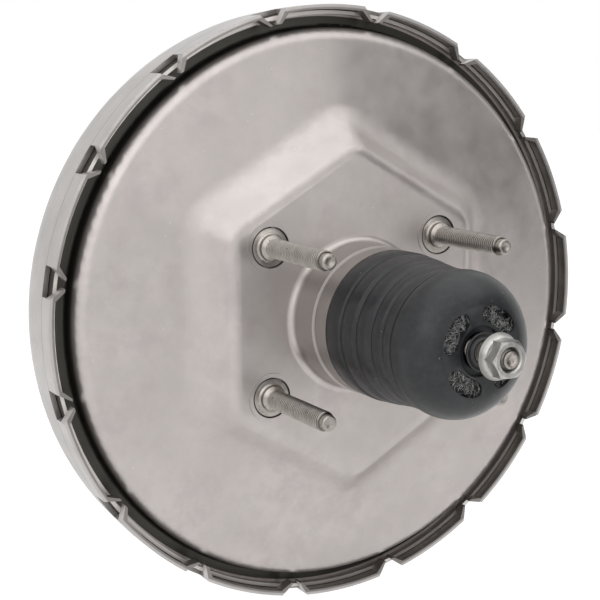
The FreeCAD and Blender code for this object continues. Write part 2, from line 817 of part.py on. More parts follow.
def neck_pieces():
    """Lip seal, its push-in retainer and the guide bushing, all inside the neck."""
    seal_rear = z.neck_groove_y
    seal_front = seal_rear + z.seal_length
    seal_outer = neck_bore - z.press_gap
    lip_radius = tail_radius + z.running_gap
    seal = new_body("neck_seal")
    spin(seal, "ring", [
        (lip_radius, seal_rear),
        (seal_outer, seal_rear),
        (seal_outer, seal_front),
        (seal_outer - z.rubber, seal_front),
        (seal_outer - z.rubber, seal_rear + z.seal_lip),
        (lip_radius + z.rubber, seal_rear + z.seal_lip),
        (lip_radius + z.rubber / 2, seal_front - z.rubber),
        (lip_radius, seal_front - z.rubber),
    ])
    retainer = new_body("neck_seal_retainer")
    spin(retainer, "ring", [
        (seal_outer - z.rubber * 2, seal_front),
        (seal_outer, seal_front),
        (seal_outer, retainer_front_y),
        (seal_outer - z.rubber * 2, retainer_front_y),
    ])
    bushing = new_body("neck_bushing")
    bushing_rear = z.neck_band_end_y + z.rear_steel
    bushing_outer = neck_bore - z.neck_groove_depth - z.press_gap
    spin(bushing, "ring", [
        (lip_radius, bushing_rear),
        (bushing_outer, bushing_rear),
        (bushing_outer, bushing_rear + z.bushing_length),
        (lip_radius, bushing_rear + z.bushing_length),
    ])


def front_seal_pieces():
    """Lip seal at the bottom of the collar and the washer pressed in on top of it."""
    outer = z.collar_bore - z.seal_seat_step - z.press_gap
    lip_radius = z.output_radius + z.running_gap
    seal_front = collar_floor_y + z.front_seal
    seal = new_body("front_seal")
    spin(seal, "ring", [
        (lip_radius, collar_floor_y),
        (outer, collar_floor_y),
        (outer, seal_front),
        (outer - z.rubber * 2, seal_front),
        (outer - z.rubber * 2, collar_floor_y + z.rubber),
        (lip_radius + z.rubber, collar_floor_y + z.rubber),
        (lip_radius + z.rubber / 2, seal_front - z.press_gap),
        (lip_radius, seal_front - z.press_gap),
    ])
    washer = new_body("front_seal_retainer")
    spin(washer, "washer", [
        (z.collar_hole, seal_front),
        (outer, seal_front),
        (outer, seal_stack_y),
        (z.collar_hole, seal_stack_y),
    ])


def valve_body():
    """Moulded hub of the power piston: tail tube, web, plunger bore and reaction cup."""
    body = new_body("valve_body")
    cup_bore = z.reaction_radius + z.running_gap
    cup_outer = cup_bore + z.hub_cup_wall
    front_bore = tail_bore - z.tail_step
    seat_outer = z.vacuum_seat_radius + z.vacuum_seat_wall
    plunger_bore = z.bore_radius
    spin(body, "hub", [
        (tail_bore, z.tail_end_y),
        (tail_radius, z.tail_end_y),
        (tail_radius, z.hub_flange_y),
        (z.hub_flange_radius, z.hub_flange_y),
        (z.hub_flange_radius, diaphragm_hub_y),
        (z.hub_spigot_radius, diaphragm_hub_y),
        (z.hub_spigot_radius, spring_seat_y),
        (cup_outer, spring_seat_y),
        (cup_outer, z.hub_front_y),
        (cup_bore, z.hub_front_y),
        (cup_bore, cup_floor_y),
        (plunger_bore, cup_floor_y),
        (plunger_bore, z.web_rear_y),
        (z.vacuum_seat_radius, z.web_rear_y),
        (z.vacuum_seat_radius, vacuum_seat_y),
        (seat_outer, vacuum_seat_y),
        (seat_outer, z.web_rear_y),
        (front_bore, z.web_rear_y),
        (front_bore, poppet_flange_y),
        (tail_bore, poppet_flange_y),
    ])
    passage = new_sketch(body, "passage_outline", "XZ_Plane", (AXIS, AXIS, -z.web_rear_y))
    draw_circle(passage, AXIS, tail_bore - z.passage_inset, z.passage_radius)
    cut = push(body, "passage", passage, spring_seat_y - z.web_rear_y, cut=True)
    repeat_round(body, "passages", [cut], z.passage_count)
    slot = new_sketch(body, "key_slot_outline", "YZ_Plane", (AXIS, AXIS, -z.key_fork - z.key_play))
    slot_rear = key_rear_y - z.key_play
    slot_front = key_rear_y + z.key_thickness + z.valve_travel + z.running_gap
    half = z.key_width / 2 + z.key_play
    draw_outline(slot, [
        (slot_rear, -half),
        (slot_front, -half),
        (slot_front, half),
        (slot_rear, half),
    ])
    depth = z.key_fork + z.key_play + key_reach
    push(body, "key_slot", slot, depth, cut=True, backwards=True)


def valve_plunger():
    """Plunger between the input rod's ball and the reaction disc, grooved for the stop key."""
    body = new_body("valve_plunger")
    stem = z.bore_radius - z.running_gap
    groove_rear = key_rear_y - z.key_play
    groove_front = key_rear_y + z.key_thickness + z.key_play
    head_front = z.web_rear_y - z.valve_travel - z.running_gap
    front = cup_floor_y - z.valve_travel - z.running_gap
    spin(body, "stem", [
        (AXIS, front),
        (stem, front),
        (stem, groove_front),
        (z.groove_radius, groove_front),
        (z.groove_radius, groove_rear),
        (stem, groove_rear),
        (stem, head_front),
        (z.plunger_head_radius, head_front),
        (z.plunger_head_radius, z.plunger_rear_y),
        (z.socket_mouth, z.plunger_rear_y),
        (z.socket_mouth, z.ball_y),
        (AXIS, z.ball_y),
    ])
    place_ball(body, "socket", "PartDesign::SubtractiveSphere", z.ball_radius + z.ball_play)


def place_ball(body, name, kind, radius):
    ball = body.newObject(kind, f"{body.Name}_{name}")
    ball.AttachmentSupport = plane_of(body, "XY_Plane")
    ball.MapMode = "FlatFace"
    tie_offset(ball, (AXIS, z.ball_y, AXIS))
    ball.Radius = amount_of(radius)
    tie(ball, "Radius", radius)
    doc.recompute()


def stop_key():
    """Forked key that ties the plunger to the hub and stops the return stroke."""
    body = new_body("stop_key")
    sketch = new_sketch(body, "key_outline", "XZ_Plane", (AXIS, AXIS, -key_rear_y))
    half = z.key_width / 2
    fork = z.groove_radius + z.key_play
    draw_outline(sketch, [
        (-z.key_fork, fork),
        (fork, fork),
        (fork, -fork),
        (-z.key_fork, -fork),
        (-z.key_fork, -half),
        (key_reach, -half),
        (key_reach, half),
        (-z.key_fork, half),
    ])
    push(body, "key", sketch, z.key_thickness, backwards=True)


def input_rod():
    """Push rod: ball end in the plunger, collar for the spring washer, threaded pedal end."""
    body = new_body("input_rod")
    collar_front = z.washer_y - z.washer_thickness
    collar_rear = collar_front - z.rod_collar_length
    taper_end = z.rod_neck_end_y - (z.rod_radius - z.rod_neck) * 2
    spin(body, "rod", [
        (AXIS, z.ball_y),
        (z.rod_neck, z.ball_y),
        (z.rod_neck, z.rod_neck_end_y),
        (z.rod_radius, taper_end),
        (z.rod_radius, collar_front),
        (z.rod_radius + z.rod_collar, collar_front),
        (z.rod_radius + z.rod_collar, collar_rear),
        (z.rod_radius, collar_rear),
        (z.rod_radius, z.rod_thread_start_y),
        (z.rod_thread_radius, z.rod_thread_start_y),
        (z.rod_thread_radius, z.rod_end_y + z.rod_chamfer),
        (z.rod_thread_radius - z.rod_chamfer, z.rod_end_y),
        (AXIS, z.rod_end_y),
    ])
    place_ball(body, "ball", "PartDesign::AdditiveSphere", z.ball_radius)


def rod_fittings():
    """Spring washer, the boot's hub grommet and the flange nut, all on the input rod."""
    washer = new_body("spring_washer")
    spin(washer, "washer", [
        (z.rod_radius + z.press_gap, z.washer_y - z.washer_thickness),
        (z.washer_radius, z.washer_y - z.washer_thickness),
        (z.washer_radius, z.washer_y),
        (z.rod_radius + z.press_gap, z.washer_y),
    ])
    grommet = new_body("rod_grommet")
    bore = z.rod_thread_radius + z.press_gap
    stem_front = z.boot_end_y + z.press_gap + z.grommet_stem_length
    flange_rear = z.boot_end_y - z.grommet_flange
    spin(grommet, "grommet", [
        (bore, stem_front),
        (z.grommet_stem, stem_front),
        (z.grommet_stem, z.boot_end_y),
        (z.grommet_radius, z.boot_end_y),
        (z.grommet_radius, z.boot_end_y - z.grommet_flange / 2),
        (z.grommet_radius - z.grommet_flange, z.boot_end_y - z.grommet_flange / 2),
        (z.grommet_radius - z.grommet_flange, flange_rear),
        (bore, flange_rear),
    ])


def flange_nut():
    body = new_body("flange_nut")
    top = z.nut_flange_y - z.nut_height
    flange_edge = z.nut_flange_y - z.nut_flange / 2
    flange_cone_y = z.nut_flange_y - z.nut_flange * 2
    hexagon_sketch = new_sketch(body, "hexagon_outline", "XZ_Plane", (AXIS, AXIS, -z.nut_flange_y))
    corner_reach = z.nut_across_flats / (2 * math.cos(math.radians(30)))
    corners = []
    for step in range(6):
        angle = math.radians(60 * step)
        corners.append((corner_reach * math.cos(angle), corner_reach * math.sin(angle)))
    draw_outline(hexagon_sketch, corners)
    push(body, "hexagon", hexagon_sketch, z.nut_height)
    spin(body, "flange", [
        (AXIS, z.nut_flange_y),
        (z.nut_flange_radius, z.nut_flange_y),
        (z.nut_flange_radius, flange_edge),
        (z.nut_across_flats / 2, flange_cone_y),
        (AXIS, flange_cone_y),
    ])
    bevel_inside = corner_reach - z.nut_corner_bevel * 2
    bevel_outside = corner_reach + z.nut_corner_bevel
    spin(body, "corner_bevel", [
        (bevel_outside, top),
        (bevel_outside, top + z.nut_corner_bevel),
        (corner_reach, top + z.nut_corner_bevel),
        (bevel_inside, top),
    ], cut=True)
    bore = z.rod_thread_radius + z.press_gap
    spin(body, "bore", [
        (AXIS, top),
        (bore, top),
        (bore, z.nut_flange_y),
        (AXIS, z.nut_flange_y),
    ], cut=True)


def control_valve():
    """Rubber poppet, the sheet steel cup that holds it in the tail, and the two felt filters."""
    poppet = new_body("control_valve_poppet")
    lip_front = z.plunger_rear_y - z.running_gap
    lip_rear = lip_front - z.poppet_lip
    spin(poppet, "poppet", [
        (z.poppet_bore, lip_front),
        (z.poppet_radius, lip_front),
        (z.poppet_radius, poppet_flange_y),
        (tail_bore - z.press_gap, poppet_flange_y),
        (tail_bore - z.press_gap, retainer_web_y),
        (z.poppet_radius - z.poppet_wall, retainer_web_y),
        (z.poppet_radius - z.poppet_wall, lip_rear),
        (z.poppet_bore, lip_rear),
    ])
    retainer = new_body("poppet_retainer")
    retainer_end = retainer_web_y - z.retainer_length
    spin(retainer, "cup", [
        (z.retainer_bore, retainer_web_y),
        (tail_bore - z.press_gap, retainer_web_y),
        (tail_bore - z.press_gap, retainer_end),
        (tail_bore - z.press_gap - z.retainer_sheet, retainer_end),
        (tail_bore - z.press_gap - z.retainer_sheet, retainer_web_y - z.retainer_sheet),
        (z.retainer_bore, retainer_web_y - z.retainer_sheet),
    ])
    air_filter = new_body("air_filter")
    filter_front = z.tail_end_y + z.filter_length
    spin(air_filter, "felt", [
        (z.filter_bore, z.tail_end_y),
        (tail_bore - z.press_gap, z.tail_end_y),
        (tail_bore - z.press_gap, filter_front),
        (z.filter_bore, filter_front),
    ])
    silencer = new_body("silencer")
    nose = boot_inner_end_y + z.running_gap
    hub_end = nose + z.boot_hub_recess
    hub_clear = z.boot_hub_radius + z.boot_wall + z.running_gap
    outer = tail_radius
    spin(silencer, "felt", [
        (z.silencer_bore, z.tail_end_y),
        (outer, z.tail_end_y),
        (outer, nose + z.silencer_shoulder),
        (outer - z.silencer_shoulder, nose),
        (hub_clear, nose),
        (hub_clear, hub_end),
        (z.silencer_bore, hub_end),
    ])


def diaphragm():
    """Rolling diaphragm: bead in the rim, a lobe round the plate and a web clamped at the hub."""
    body = new_body("diaphragm")
    outer_bead = wall_radius - z.front_steel - z.press_gap
    inner_bead = outer_bead - z.bead_width
    lobe_start = plate_radius + z.press_gap
    lobe_end = inner_bead + z.rubber
    lobe_middle = (lobe_start + lobe_end) / 2
    outer_turn = (lobe_end - lobe_start) / 2
    inner_turn = outer_turn - z.rubber
    corners = [
        (z.hub_spigot_radius + z.press_gap, diaphragm_hub_y),
        (z.plate_step_radius, diaphragm_hub_y),
        (z.plate_foot_radius, plate_foot_y - z.rubber),
        (lobe_start + z.rubber, plate_edge_y - z.rubber),
    ]
    for step in range(5):
        angle = math.radians(45 * step)
        corners.append((lobe_middle - inner_turn * math.cos(angle), z.lobe_y + inner_turn * math.sin(angle)))
    corners += [
        (inner_bead, step_y),
        (outer_bead, step_y),
        (outer_bead, step_y + z.bead_length),
    ]
    for step in range(1, 5):
        angle = math.radians(45 * step)
        corners.append((lobe_middle + outer_turn * math.cos(angle), z.lobe_y + outer_turn * math.sin(angle)))
    corners += [
        (lobe_start, plate_edge_y),
        (z.plate_foot_radius, plate_foot_y),
        (z.plate_step_radius, plate_hub_y),
        (z.hub_spigot_radius + z.press_gap, plate_hub_y),
    ]
    spin(body, "rubber", corners)


def diaphragm_plate():
    """Pressed plate that carries the diaphragm, and the ring that locks it on the hub."""
    body = new_body("diaphragm_plate")
    inner = z.hub_spigot_radius + z.press_gap
    rim_inside = plate_radius - z.plate_sheet
    spin(body, "plate", [
        (inner, plate_hub_y),
        (z.plate_step_radius, plate_hub_y),
        (z.plate_foot_radius, plate_foot_y),
        (plate_radius, plate_edge_y),
        (plate_radius, z.plate_rim_front_y),
        (rim_inside, z.plate_rim_front_y),
        (rim_inside, plate_edge_y + z.plate_sheet),
        (z.plate_foot_radius, plate_foot_y + z.plate_sheet),
        (z.plate_step_radius, lock_ring_y),
        (inner, lock_ring_y),
    ])
    rear_corner = [(plate_radius, plate_edge_y)]
    round_rings(body, "edge_bend", rear_corner, z.plate_edge_bend)
    ring = new_body("diaphragm_lock_ring")
    spin(ring, "ring", [
        (inner, lock_ring_y),
        (z.lock_ring_radius, lock_ring_y),
        (z.lock_ring_radius, spring_seat_y),
        (inner, spring_seat_y),
    ])


def output_pieces():
    """Reaction disc, output rod with its adjusting screw, and the cap that holds the rod's foot."""
    reaction = new_body("reaction_disc")
    foot_y = cup_floor_y + z.reaction_disc
    spin(reaction, "disc", [
        (AXIS, cup_floor_y),
        (z.reaction_radius, cup_floor_y),
        (z.reaction_radius, foot_y),
        (AXIS, foot_y),
    ])
    rod = new_body("output_rod")
    foot_front = z.hub_front_y
    hole_floor = z.output_end_y - z.screw_depth
    spin(rod, "rod", [
        (AXIS, foot_y),
        (z.reaction_radius, foot_y),
        (z.reaction_radius, foot_front),
        (z.output_radius, foot_front),
        (z.output_radius, z.output_end_y),
        (z.screw_radius + z.press_gap, z.output_end_y),
        (z.screw_radius + z.press_gap, hole_floor),
        (AXIS, hole_floor),
    ])
    screw = new_body("output_rod_screw")
    head_end = z.output_end_y + z.screw_head
    dome_y = head_end - z.screw_radius / 8
    spin(screw, "screw", [
        (AXIS, hole_floor + z.press_gap),
        (z.screw_radius, hole_floor + z.press_gap),
        (z.screw_radius, z.output_end_y),
        (z.screw_head_radius, z.output_end_y),
        (z.screw_head_radius, head_end - z.screw_radius / 2),
        (z.screw_radius, dome_y),
        (z.screw_radius / 2, head_end),
        (AXIS, head_end),
    ])
    cap = new_body("output_rod_retainer")
    cup_outer = z.reaction_radius + z.running_gap + z.hub_cup_wall + z.press_gap
    lip_radius = z.output_radius + z.retainer_sheet * 2
    spin(cap, "cap", [
        (cup_outer, z.hub_front_y - z.retainer_skirt),
        (cup_outer + z.retainer_sheet, z.hub_front_y - z.retainer_skirt),
        (cup_outer + z.retainer_sheet, z.hub_front_y + z.retainer_sheet),
        (lip_radius, z.hub_front_y + z.retainer_sheet),
        (lip_radius, z.hub_front_y),
        (cup_outer, z.hub_front_y),
    ])


def dust_boot():
    """Moulded bellows: band on the neck, shallow folds, a domed nose with four air vents."""
    body = new_body("dust_boot")
    folds = [z.boot_first_fold_y, z.boot_second_fold_y, z.boot_third_fold_y, z.boot_fourth_fold_y]
    outer = [
        (boot_band_radius, z.boot_start_y),
        (boot_band_radius + z.running_gap, z.boot_band_end_y),
    ]
    span = z.boot_first_fold_y - z.boot_last_fold_y
    for fold in folds:
        share = (z.boot_first_fold_y - fold) / span
        crest = boot_band_radius - z.boot_taper * share
        outer.append((crest - z.boot_fold_depth, fold))
        outer.append((crest - z.boot_ridge_fall, fold - z.boot_ridge))
        next_y = folds[folds.index(fold) + 1] if fold is not folds[-1] else z.boot_last_fold_y
        outer.append((crest - z.boot_crest_fall, next_y + z.boot_groove_rise))
    outer.append((boot_nose_centre + z.boot_nose_reach - z.boot_fold_depth, z.boot_last_fold_y))
    nose_steps = 6
    for step in range(1, nose_steps + 1):
        radius = boot_nose_centre + along(z.boot_nose_reach, z.boot_nose_turn * step)
        outer.append((radius, z.boot_last_fold_y - across(z.boot_nose_depth, z.boot_nose_turn * step)))
    end_radius = boot_nose_centre + along(z.boot_nose_reach, z.boot_nose_end_turn)
    outer.append((end_radius, z.boot_end_y))
    recess_y = z.boot_end_y + z.boot_hub_recess
    hub = [
        (z.boot_hub_radius, z.boot_end_y),
        (z.boot_hub_radius, recess_y),
        (z.boot_hole, recess_y),
        (z.boot_hole, recess_y + z.boot_wall),
        (z.boot_hub_radius + z.boot_wall, recess_y + z.boot_wall),
        (z.boot_hub_radius + z.boot_wall, boot_inner_end_y),
        (end_radius, boot_inner_end_y),
    ]
    inner = []
    for radius, y in reversed(outer[2:-1]):
        inner.append((radius - z.boot_wall, y))
    spigot = z.neck_radius - z.neck_spigot + z.press_gap
    neck = [
        (spigot, z.neck_band_end_y - z.neck_spigot_length - z.running_gap),
        (spigot, z.boot_start_y),
    ]
    nose_clear_y = boot_inner_end_y + z.boot_wall / 2
    inside = [corner for corner in inner if corner[1].value > nose_clear_y.value]
    spin(body, "rubber", outer + hub + inside + neck)
    vents(body)


def vents(body):
    """Four kidney shaped vents through the nose, round the hub."""
    sketch = new_sketch(body, "vent_outline", "XZ_Plane", (AXIS, AXIS, -z.boot_end_y), z.vent_phase)
    middle = (z.vent_inner_radius + z.vent_outer_radius) / 2
    half_angle = SIZES["vent_half_angle"]
    rounded_angle = half_angle + math.degrees(z.boot_wall.value / middle.value)
    steps = 4
    run = [half_angle * (2 * step / steps - 1) for step in range(steps + 1)]
    places = [(z.vent_outer_radius, angle) for angle in run]
    places.append((middle, rounded_angle))
    places += [(z.vent_inner_radius, angle) for angle in reversed(run)]
    places.append((middle, -rounded_angle))
    corners = []
    for radius, angle in places:
        turned = math.radians(angle)
        corners.append((radius * math.cos(turned), radius * math.sin(turned)))
    draw_outline(sketch, corners)
    cut = push(body, "vent", sketch, z.boot_wall * 2, cut=True)
    repeat_round(body, "vents", [cut], z.vent_count)


def coil(node, radius, wire, turns, start_y, end_y, shift=(AXIS, AXIS)):
    """Compression spring between two flat seats, its wire drawn with eight flats."""
    body = new_body(node)
    sketch = new_sketch(body, "wire_outline", "XY_Plane", (shift[0], AXIS, shift[1]))
    flats = 8
    corner_reach = wire / (2 * math.cos(math.pi / flats))
    corners = []
    for flat in range(flats):
        angle = math.pi * (2 * flat + 1) / flats
        corner_y = start_y + wire / 2 + corner_reach * math.sin(angle)
        corners.append((radius + corner_reach * math.cos(angle), corner_y))
    draw_outline(sketch, corners)
    helix = body.newObject("PartDesign::AdditiveHelix", f"{node}_helix")
    helix.Profile = sketch
    helix.ReferenceAxis = (sketch, ["V_Axis"])
    helix.Mode = 0
    rise = end_y - start_y - wire
    pitch = rise / turns
    helix.Pitch = pitch.value
    helix.Height = rise.value
    tie(helix, "Pitch", pitch)
    tie(helix, "Height", rise)
    doc.recompute()


def springs():
    coil("return_spring", z.return_coil_radius, z.return_wire, z.return_turns, spring_seat_y, front_plate_y)
    lip_rear = z.plunger_rear_y - z.running_gap - z.poppet_lip
    coil("poppet_spring", z.valve_coil_radius, z.valve_wire, z.valve_turns, retainer_web_y, lip_rear)
    web_rear = retainer_web_y - z.retainer_sheet
    coil("rod_return_spring", z.rod_coil_radius, z.rod_wire, z.rod_turns, z.washer_y, web_rear)
    disc_front = check_seat_y + z.check_disc
    cavity_end = check_seat_y + z.check_cavity
    place = (check_x, check_z)
    coil("check_valve_spring", z.check_coil_radius, z.check_wire, z.check_turns,
         disc_front, cavity_end, place)


def check_valve():
    """Vacuum check valve: grommet in the front shell, body with a hose nozzle, rubber disc."""
    place = (check_x, AXIS, check_z)
    inner_face = z.front_face_y - z.front_steel
    grommet = new_body("check_valve_grommet")
    bore = z.check_stem_radius + z.press_gap
    neck = z.grommet_hole - z.press_gap
    lip = z.grommet_hole + z.grommet_lip_width
    spin(grommet, "grommet", [
        (bore, inner_face - z.grommet_lip),
        (neck, inner_face - z.grommet_lip),
        (z.grommet_hole + z.grommet_lip_width / 2, inner_face),
        (neck, inner_face),
        (neck, z.front_face_y),
        (lip, z.front_face_y),
        (lip, z.front_face_y + z.grommet_lip),
        (bore, z.front_face_y + z.grommet_lip),
    ], shift=place)
    body = new_body("check_valve_body")
    stem_end = inner_face - z.check_inner_end
    shoulder = z.front_face_y + z.grommet_lip
    cavity_end = check_seat_y + z.check_cavity
    spin(body, "body", [
        (AXIS, stem_end),
        (z.check_stem_radius, stem_end),
        (z.check_stem_radius, shoulder),
        (z.check_body_radius, shoulder),
        (z.check_body_radius, cavity_end + z.check_wall),
        (AXIS, cavity_end + z.check_wall),
    ], shift=place)
    nozzle(body, cavity_end)
    spin(body, "cavity", [
        (AXIS, stem_end),
        (z.check_inlet_radius, stem_end),
        (z.check_inlet_radius, check_seat_y),
        (z.check_cavity_radius, check_seat_y),
        (z.check_cavity_radius, cavity_end),
        (AXIS, cavity_end),
    ], cut=True, shift=place)
    disc = new_body("check_valve_disc")
    spin(disc, "disc", [
        (AXIS, check_seat_y),
        (z.check_disc_radius, check_seat_y),
        (z.check_disc_radius, check_seat_y + z.check_disc),
        (AXIS, check_seat_y + z.check_disc),
    ], shift=place)


def nozzle(body, cavity_end):
    """Barbed hose nozzle that leaves the check valve sideways."""
    nozzle_y = cavity_end - z.nozzle_bore - z.check_wall
    place = (check_x, nozzle_y, check_z)
    tip_radius = z.nozzle_radius - z.nozzle_barb
    groove_radius = z.nozzle_radius - z.nozzle_barb / 2
    crest_radius = z.nozzle_radius + z.nozzle_barb / 3
    collar_radius = z.nozzle_radius + z.nozzle_barb
    collar_end = z.check_body_radius + z.nozzle_barb_pitch
    outside = [(AXIS, AXIS), (z.nozzle_length, AXIS), (z.nozzle_length, tip_radius)]
    for step in range(SIZES["nozzle_barb_count"]):
        crest = z.nozzle_length - z.nozzle_tip_length - z.nozzle_barb_pitch * step
        outside.append((crest, crest_radius))
        outside.append((crest, groove_radius))
    outside += [
        (collar_end, groove_radius),
        (collar_end, collar_radius),
        (AXIS, collar_radius),
    ]
    spin(body, "nozzle", outside, shift=place, axis="H_Axis")
    bore = [
        (AXIS, AXIS),
        (z.nozzle_length, AXIS),
        (z.nozzle_length, z.nozzle_bore),
        (AXIS, z.nozzle_bore),
    ]
    spin(body, "nozzle_bore", bore, cut=True, shift=place, axis="H_Axis")


builders = [
    front_shell,
    rear_shell,
    rear_reinforcement_plate,
    front_reinforcement_plate,
    firewall_studs,
    master_cylinder_studs,
    neck_pieces,
    front_seal_pieces,
    valve_body,
    valve_plunger,
    stop_key,
    input_rod,
    rod_fittings,
    flange_nut,
    control_valve,
    diaphragm,
    diaphragm_plate,
    output_pieces,
    dust_boot,
    springs,
    check_valve,
]

for builder in builders:
    builder()

doc.recompute()

for item in doc.Objects:
    if "Invalid" in item.State or "Error" in item.State:
        raise RuntimeError(f"{item.Name} did not build: {item.State}")

bodies = [item for item in doc.Objects if item.TypeId == "PartDesign::Body"]
for body in bodies:
    if body.Shape.isNull() or not body.Shape.isValid():
        raise RuntimeError(f"{body.Label} has no valid shape")
for body in bodies:
    body.Shape.exportStep(f"parts/{body.Label}.step")
    print(body.Label, len(body.Shape.Solids), round(body.Shape.Volume))
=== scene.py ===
import bpy
import math
import random
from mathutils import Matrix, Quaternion, Vector


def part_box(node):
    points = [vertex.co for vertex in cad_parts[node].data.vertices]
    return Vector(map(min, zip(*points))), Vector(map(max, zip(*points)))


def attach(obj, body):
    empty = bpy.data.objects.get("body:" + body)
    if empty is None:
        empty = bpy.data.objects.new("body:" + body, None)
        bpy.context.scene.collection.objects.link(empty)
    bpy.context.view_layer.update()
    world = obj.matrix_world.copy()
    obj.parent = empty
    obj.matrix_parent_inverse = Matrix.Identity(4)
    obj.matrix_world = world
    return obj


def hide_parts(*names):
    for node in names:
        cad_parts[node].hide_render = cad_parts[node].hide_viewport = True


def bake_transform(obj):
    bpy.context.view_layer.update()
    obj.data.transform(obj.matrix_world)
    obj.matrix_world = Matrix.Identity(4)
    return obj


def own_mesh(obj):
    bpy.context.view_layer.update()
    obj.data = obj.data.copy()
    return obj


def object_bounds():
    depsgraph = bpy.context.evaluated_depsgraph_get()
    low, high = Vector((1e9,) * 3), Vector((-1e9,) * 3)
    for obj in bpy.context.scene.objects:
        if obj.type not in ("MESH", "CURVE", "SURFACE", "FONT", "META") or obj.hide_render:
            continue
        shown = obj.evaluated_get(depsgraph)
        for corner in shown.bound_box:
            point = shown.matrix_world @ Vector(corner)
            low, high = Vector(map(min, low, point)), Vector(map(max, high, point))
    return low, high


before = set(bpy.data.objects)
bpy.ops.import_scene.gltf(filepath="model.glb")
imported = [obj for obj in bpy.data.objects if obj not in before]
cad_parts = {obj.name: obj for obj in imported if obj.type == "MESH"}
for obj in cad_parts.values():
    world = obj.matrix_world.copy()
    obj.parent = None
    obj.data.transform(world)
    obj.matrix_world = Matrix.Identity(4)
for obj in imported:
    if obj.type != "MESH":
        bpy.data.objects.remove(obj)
cad_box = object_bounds()
scene = bpy.context.scene

# Studio.
# A pale floor under the rim, white surroundings, three soft lamps and two dark cards.
# The camera stands behind and to the left of the booster, as in the photograph.

scene.view_settings.view_transform = "Standard"


def add_node(tree, kind, inputs=None, **settings):
    """A shader node whose inputs are given as values or as other nodes' sockets."""
    node = tree.nodes.new(kind)
    for word, setting in settings.items():
        setattr(node, word, setting)
    for word, value in (inputs or {}).items():
        if isinstance(value, bpy.types.NodeSocket):
            tree.links.new(value, node.inputs[word])
        else:
            node.inputs[word].default_value = value
    return node


def maths(tree, operation, *values):
    """The result of a sum or comparison of numbers or sockets."""
    node = add_node(tree, "ShaderNodeMath", dict(enumerate(values)), operation=operation)
    return node.outputs[0]


def ramp(tree, value, start, end, low=0.0, high=1.0):
    """The value, mapped from start to end onto low to high."""
    node = add_node(tree, "ShaderNodeMapRange", {"Value": value, "From Min": start, "From Max": end,
                                                 "To Min": low, "To Max": high})
    return node.outputs[0]


def seen_directly(tree):
    """One for rays that come from the camera, a mirror or glass, and nothing for soft light."""
    rays = add_node(tree, "ShaderNodeLightPath").outputs
    mirror = maths(tree, "MAXIMUM", rays["Is Camera Ray"], rays["Is Glossy Ray"])
    return maths(tree, "MAXIMUM", mirror, rays["Is Transmission Ray"])


soft_light = 0.62
world = bpy.data.worlds.new("white_studio")
world.use_nodes = True
scene.world = world
sky = world.node_tree
sky_level = ramp(sky, seen_directly(sky), 0.0, 1.0, low=soft_light)
background = sky.nodes["Background"]
background.inputs["Color"].default_value = (1, 1, 1, 1)
sky.links.new(sky_level, background.inputs["Strength"])

floor_size = 6.0
floor_shadow = 0.22
floor_white = 1.24
floor_height = cad_box[0].z
bpy.ops.object.select_all(action="DESELECT")
bpy.ops.mesh.primitive_plane_add(size=floor_size, location=(0, 0, floor_height))
floor = bpy.context.object
floor.name = "studio_floor"
floor_paint = bpy.data.materials.new("pale_floor")
floor_paint.use_nodes = True
tree = floor_paint.node_tree
tree.nodes.clear()
matt = add_node(tree, "ShaderNodeBsdfDiffuse", {"Color": (0.92, 0.92, 0.92, 1)})
glow = add_node(tree, "ShaderNodeEmission", {"Color": (1, 1, 1, 1), "Strength": floor_white})
floor_glow = ramp(tree, seen_directly(tree), 0.0, 1.0, high=1 - floor_shadow)
floor_mix = add_node(tree, "ShaderNodeMixShader", {0: floor_glow, 1: matt.outputs[0], 2: glow.outputs[0]})
add_node(tree, "ShaderNodeOutputMaterial", {"Surface": floor_mix.outputs[0]})
floor.data.materials.append(floor_paint)


def aim(place, target):
    return (Vector(target) - Vector(place)).to_track_quat("-Z", "Y")


def soft_lamp(name, place, size, power):
    """A square lamp that points at the booster."""
    bpy.ops.object.light_add(type="AREA", location=place)
    lamp = bpy.context.object
    lamp.name = name
    lamp.data.size = size
    lamp.data.energy = power
    lamp.rotation_mode = "QUATERNION"
    lamp.rotation_quaternion = aim(place, (0, 0, 0))
    return lamp


soft_lamp("key_lamp", (-1.1, -1.0, 0.9), size=1.3, power=6.0)
soft_lamp("top_lamp", (0.1, -0.3, 1.4), size=2.0, power=10.0)
soft_lamp("low_lamp", (0.5, -1.3, -0.05), size=0.5, power=2.0)

# Dark cards: only the metal's reflections see them
card_paint = bpy.data.materials.new("dark_card")
card_paint.use_nodes = True
card_shader = card_paint.node_tree.nodes["Principled BSDF"]
card_shader.inputs["Base Color"].default_value = (0.10, 0.10, 0.10, 1)
card_shader.inputs["Roughness"].default_value = 0.9
dark_cards = {
    "right_card": ((0.75, -0.55, 0.18), (0.80, 0.80)),
    "low_card": ((0.22, -0.54, -0.08), (0.84, 0.12)),
}
for name, (place, size) in dark_cards.items():
    bpy.ops.mesh.primitive_plane_add(size=1, location=place)
    card = bpy.context.object
    card.name = name
    card.rotation_mode = "QUATERNION"
    card.rotation_quaternion = aim(place, (0, 0, place[2]))
    card.scale = (size[0], size[1], 1)
    card.visible_camera = False
    card.visible_shadow = False
    card.visible_diffuse = False
    card.data.materials.append(card_paint)

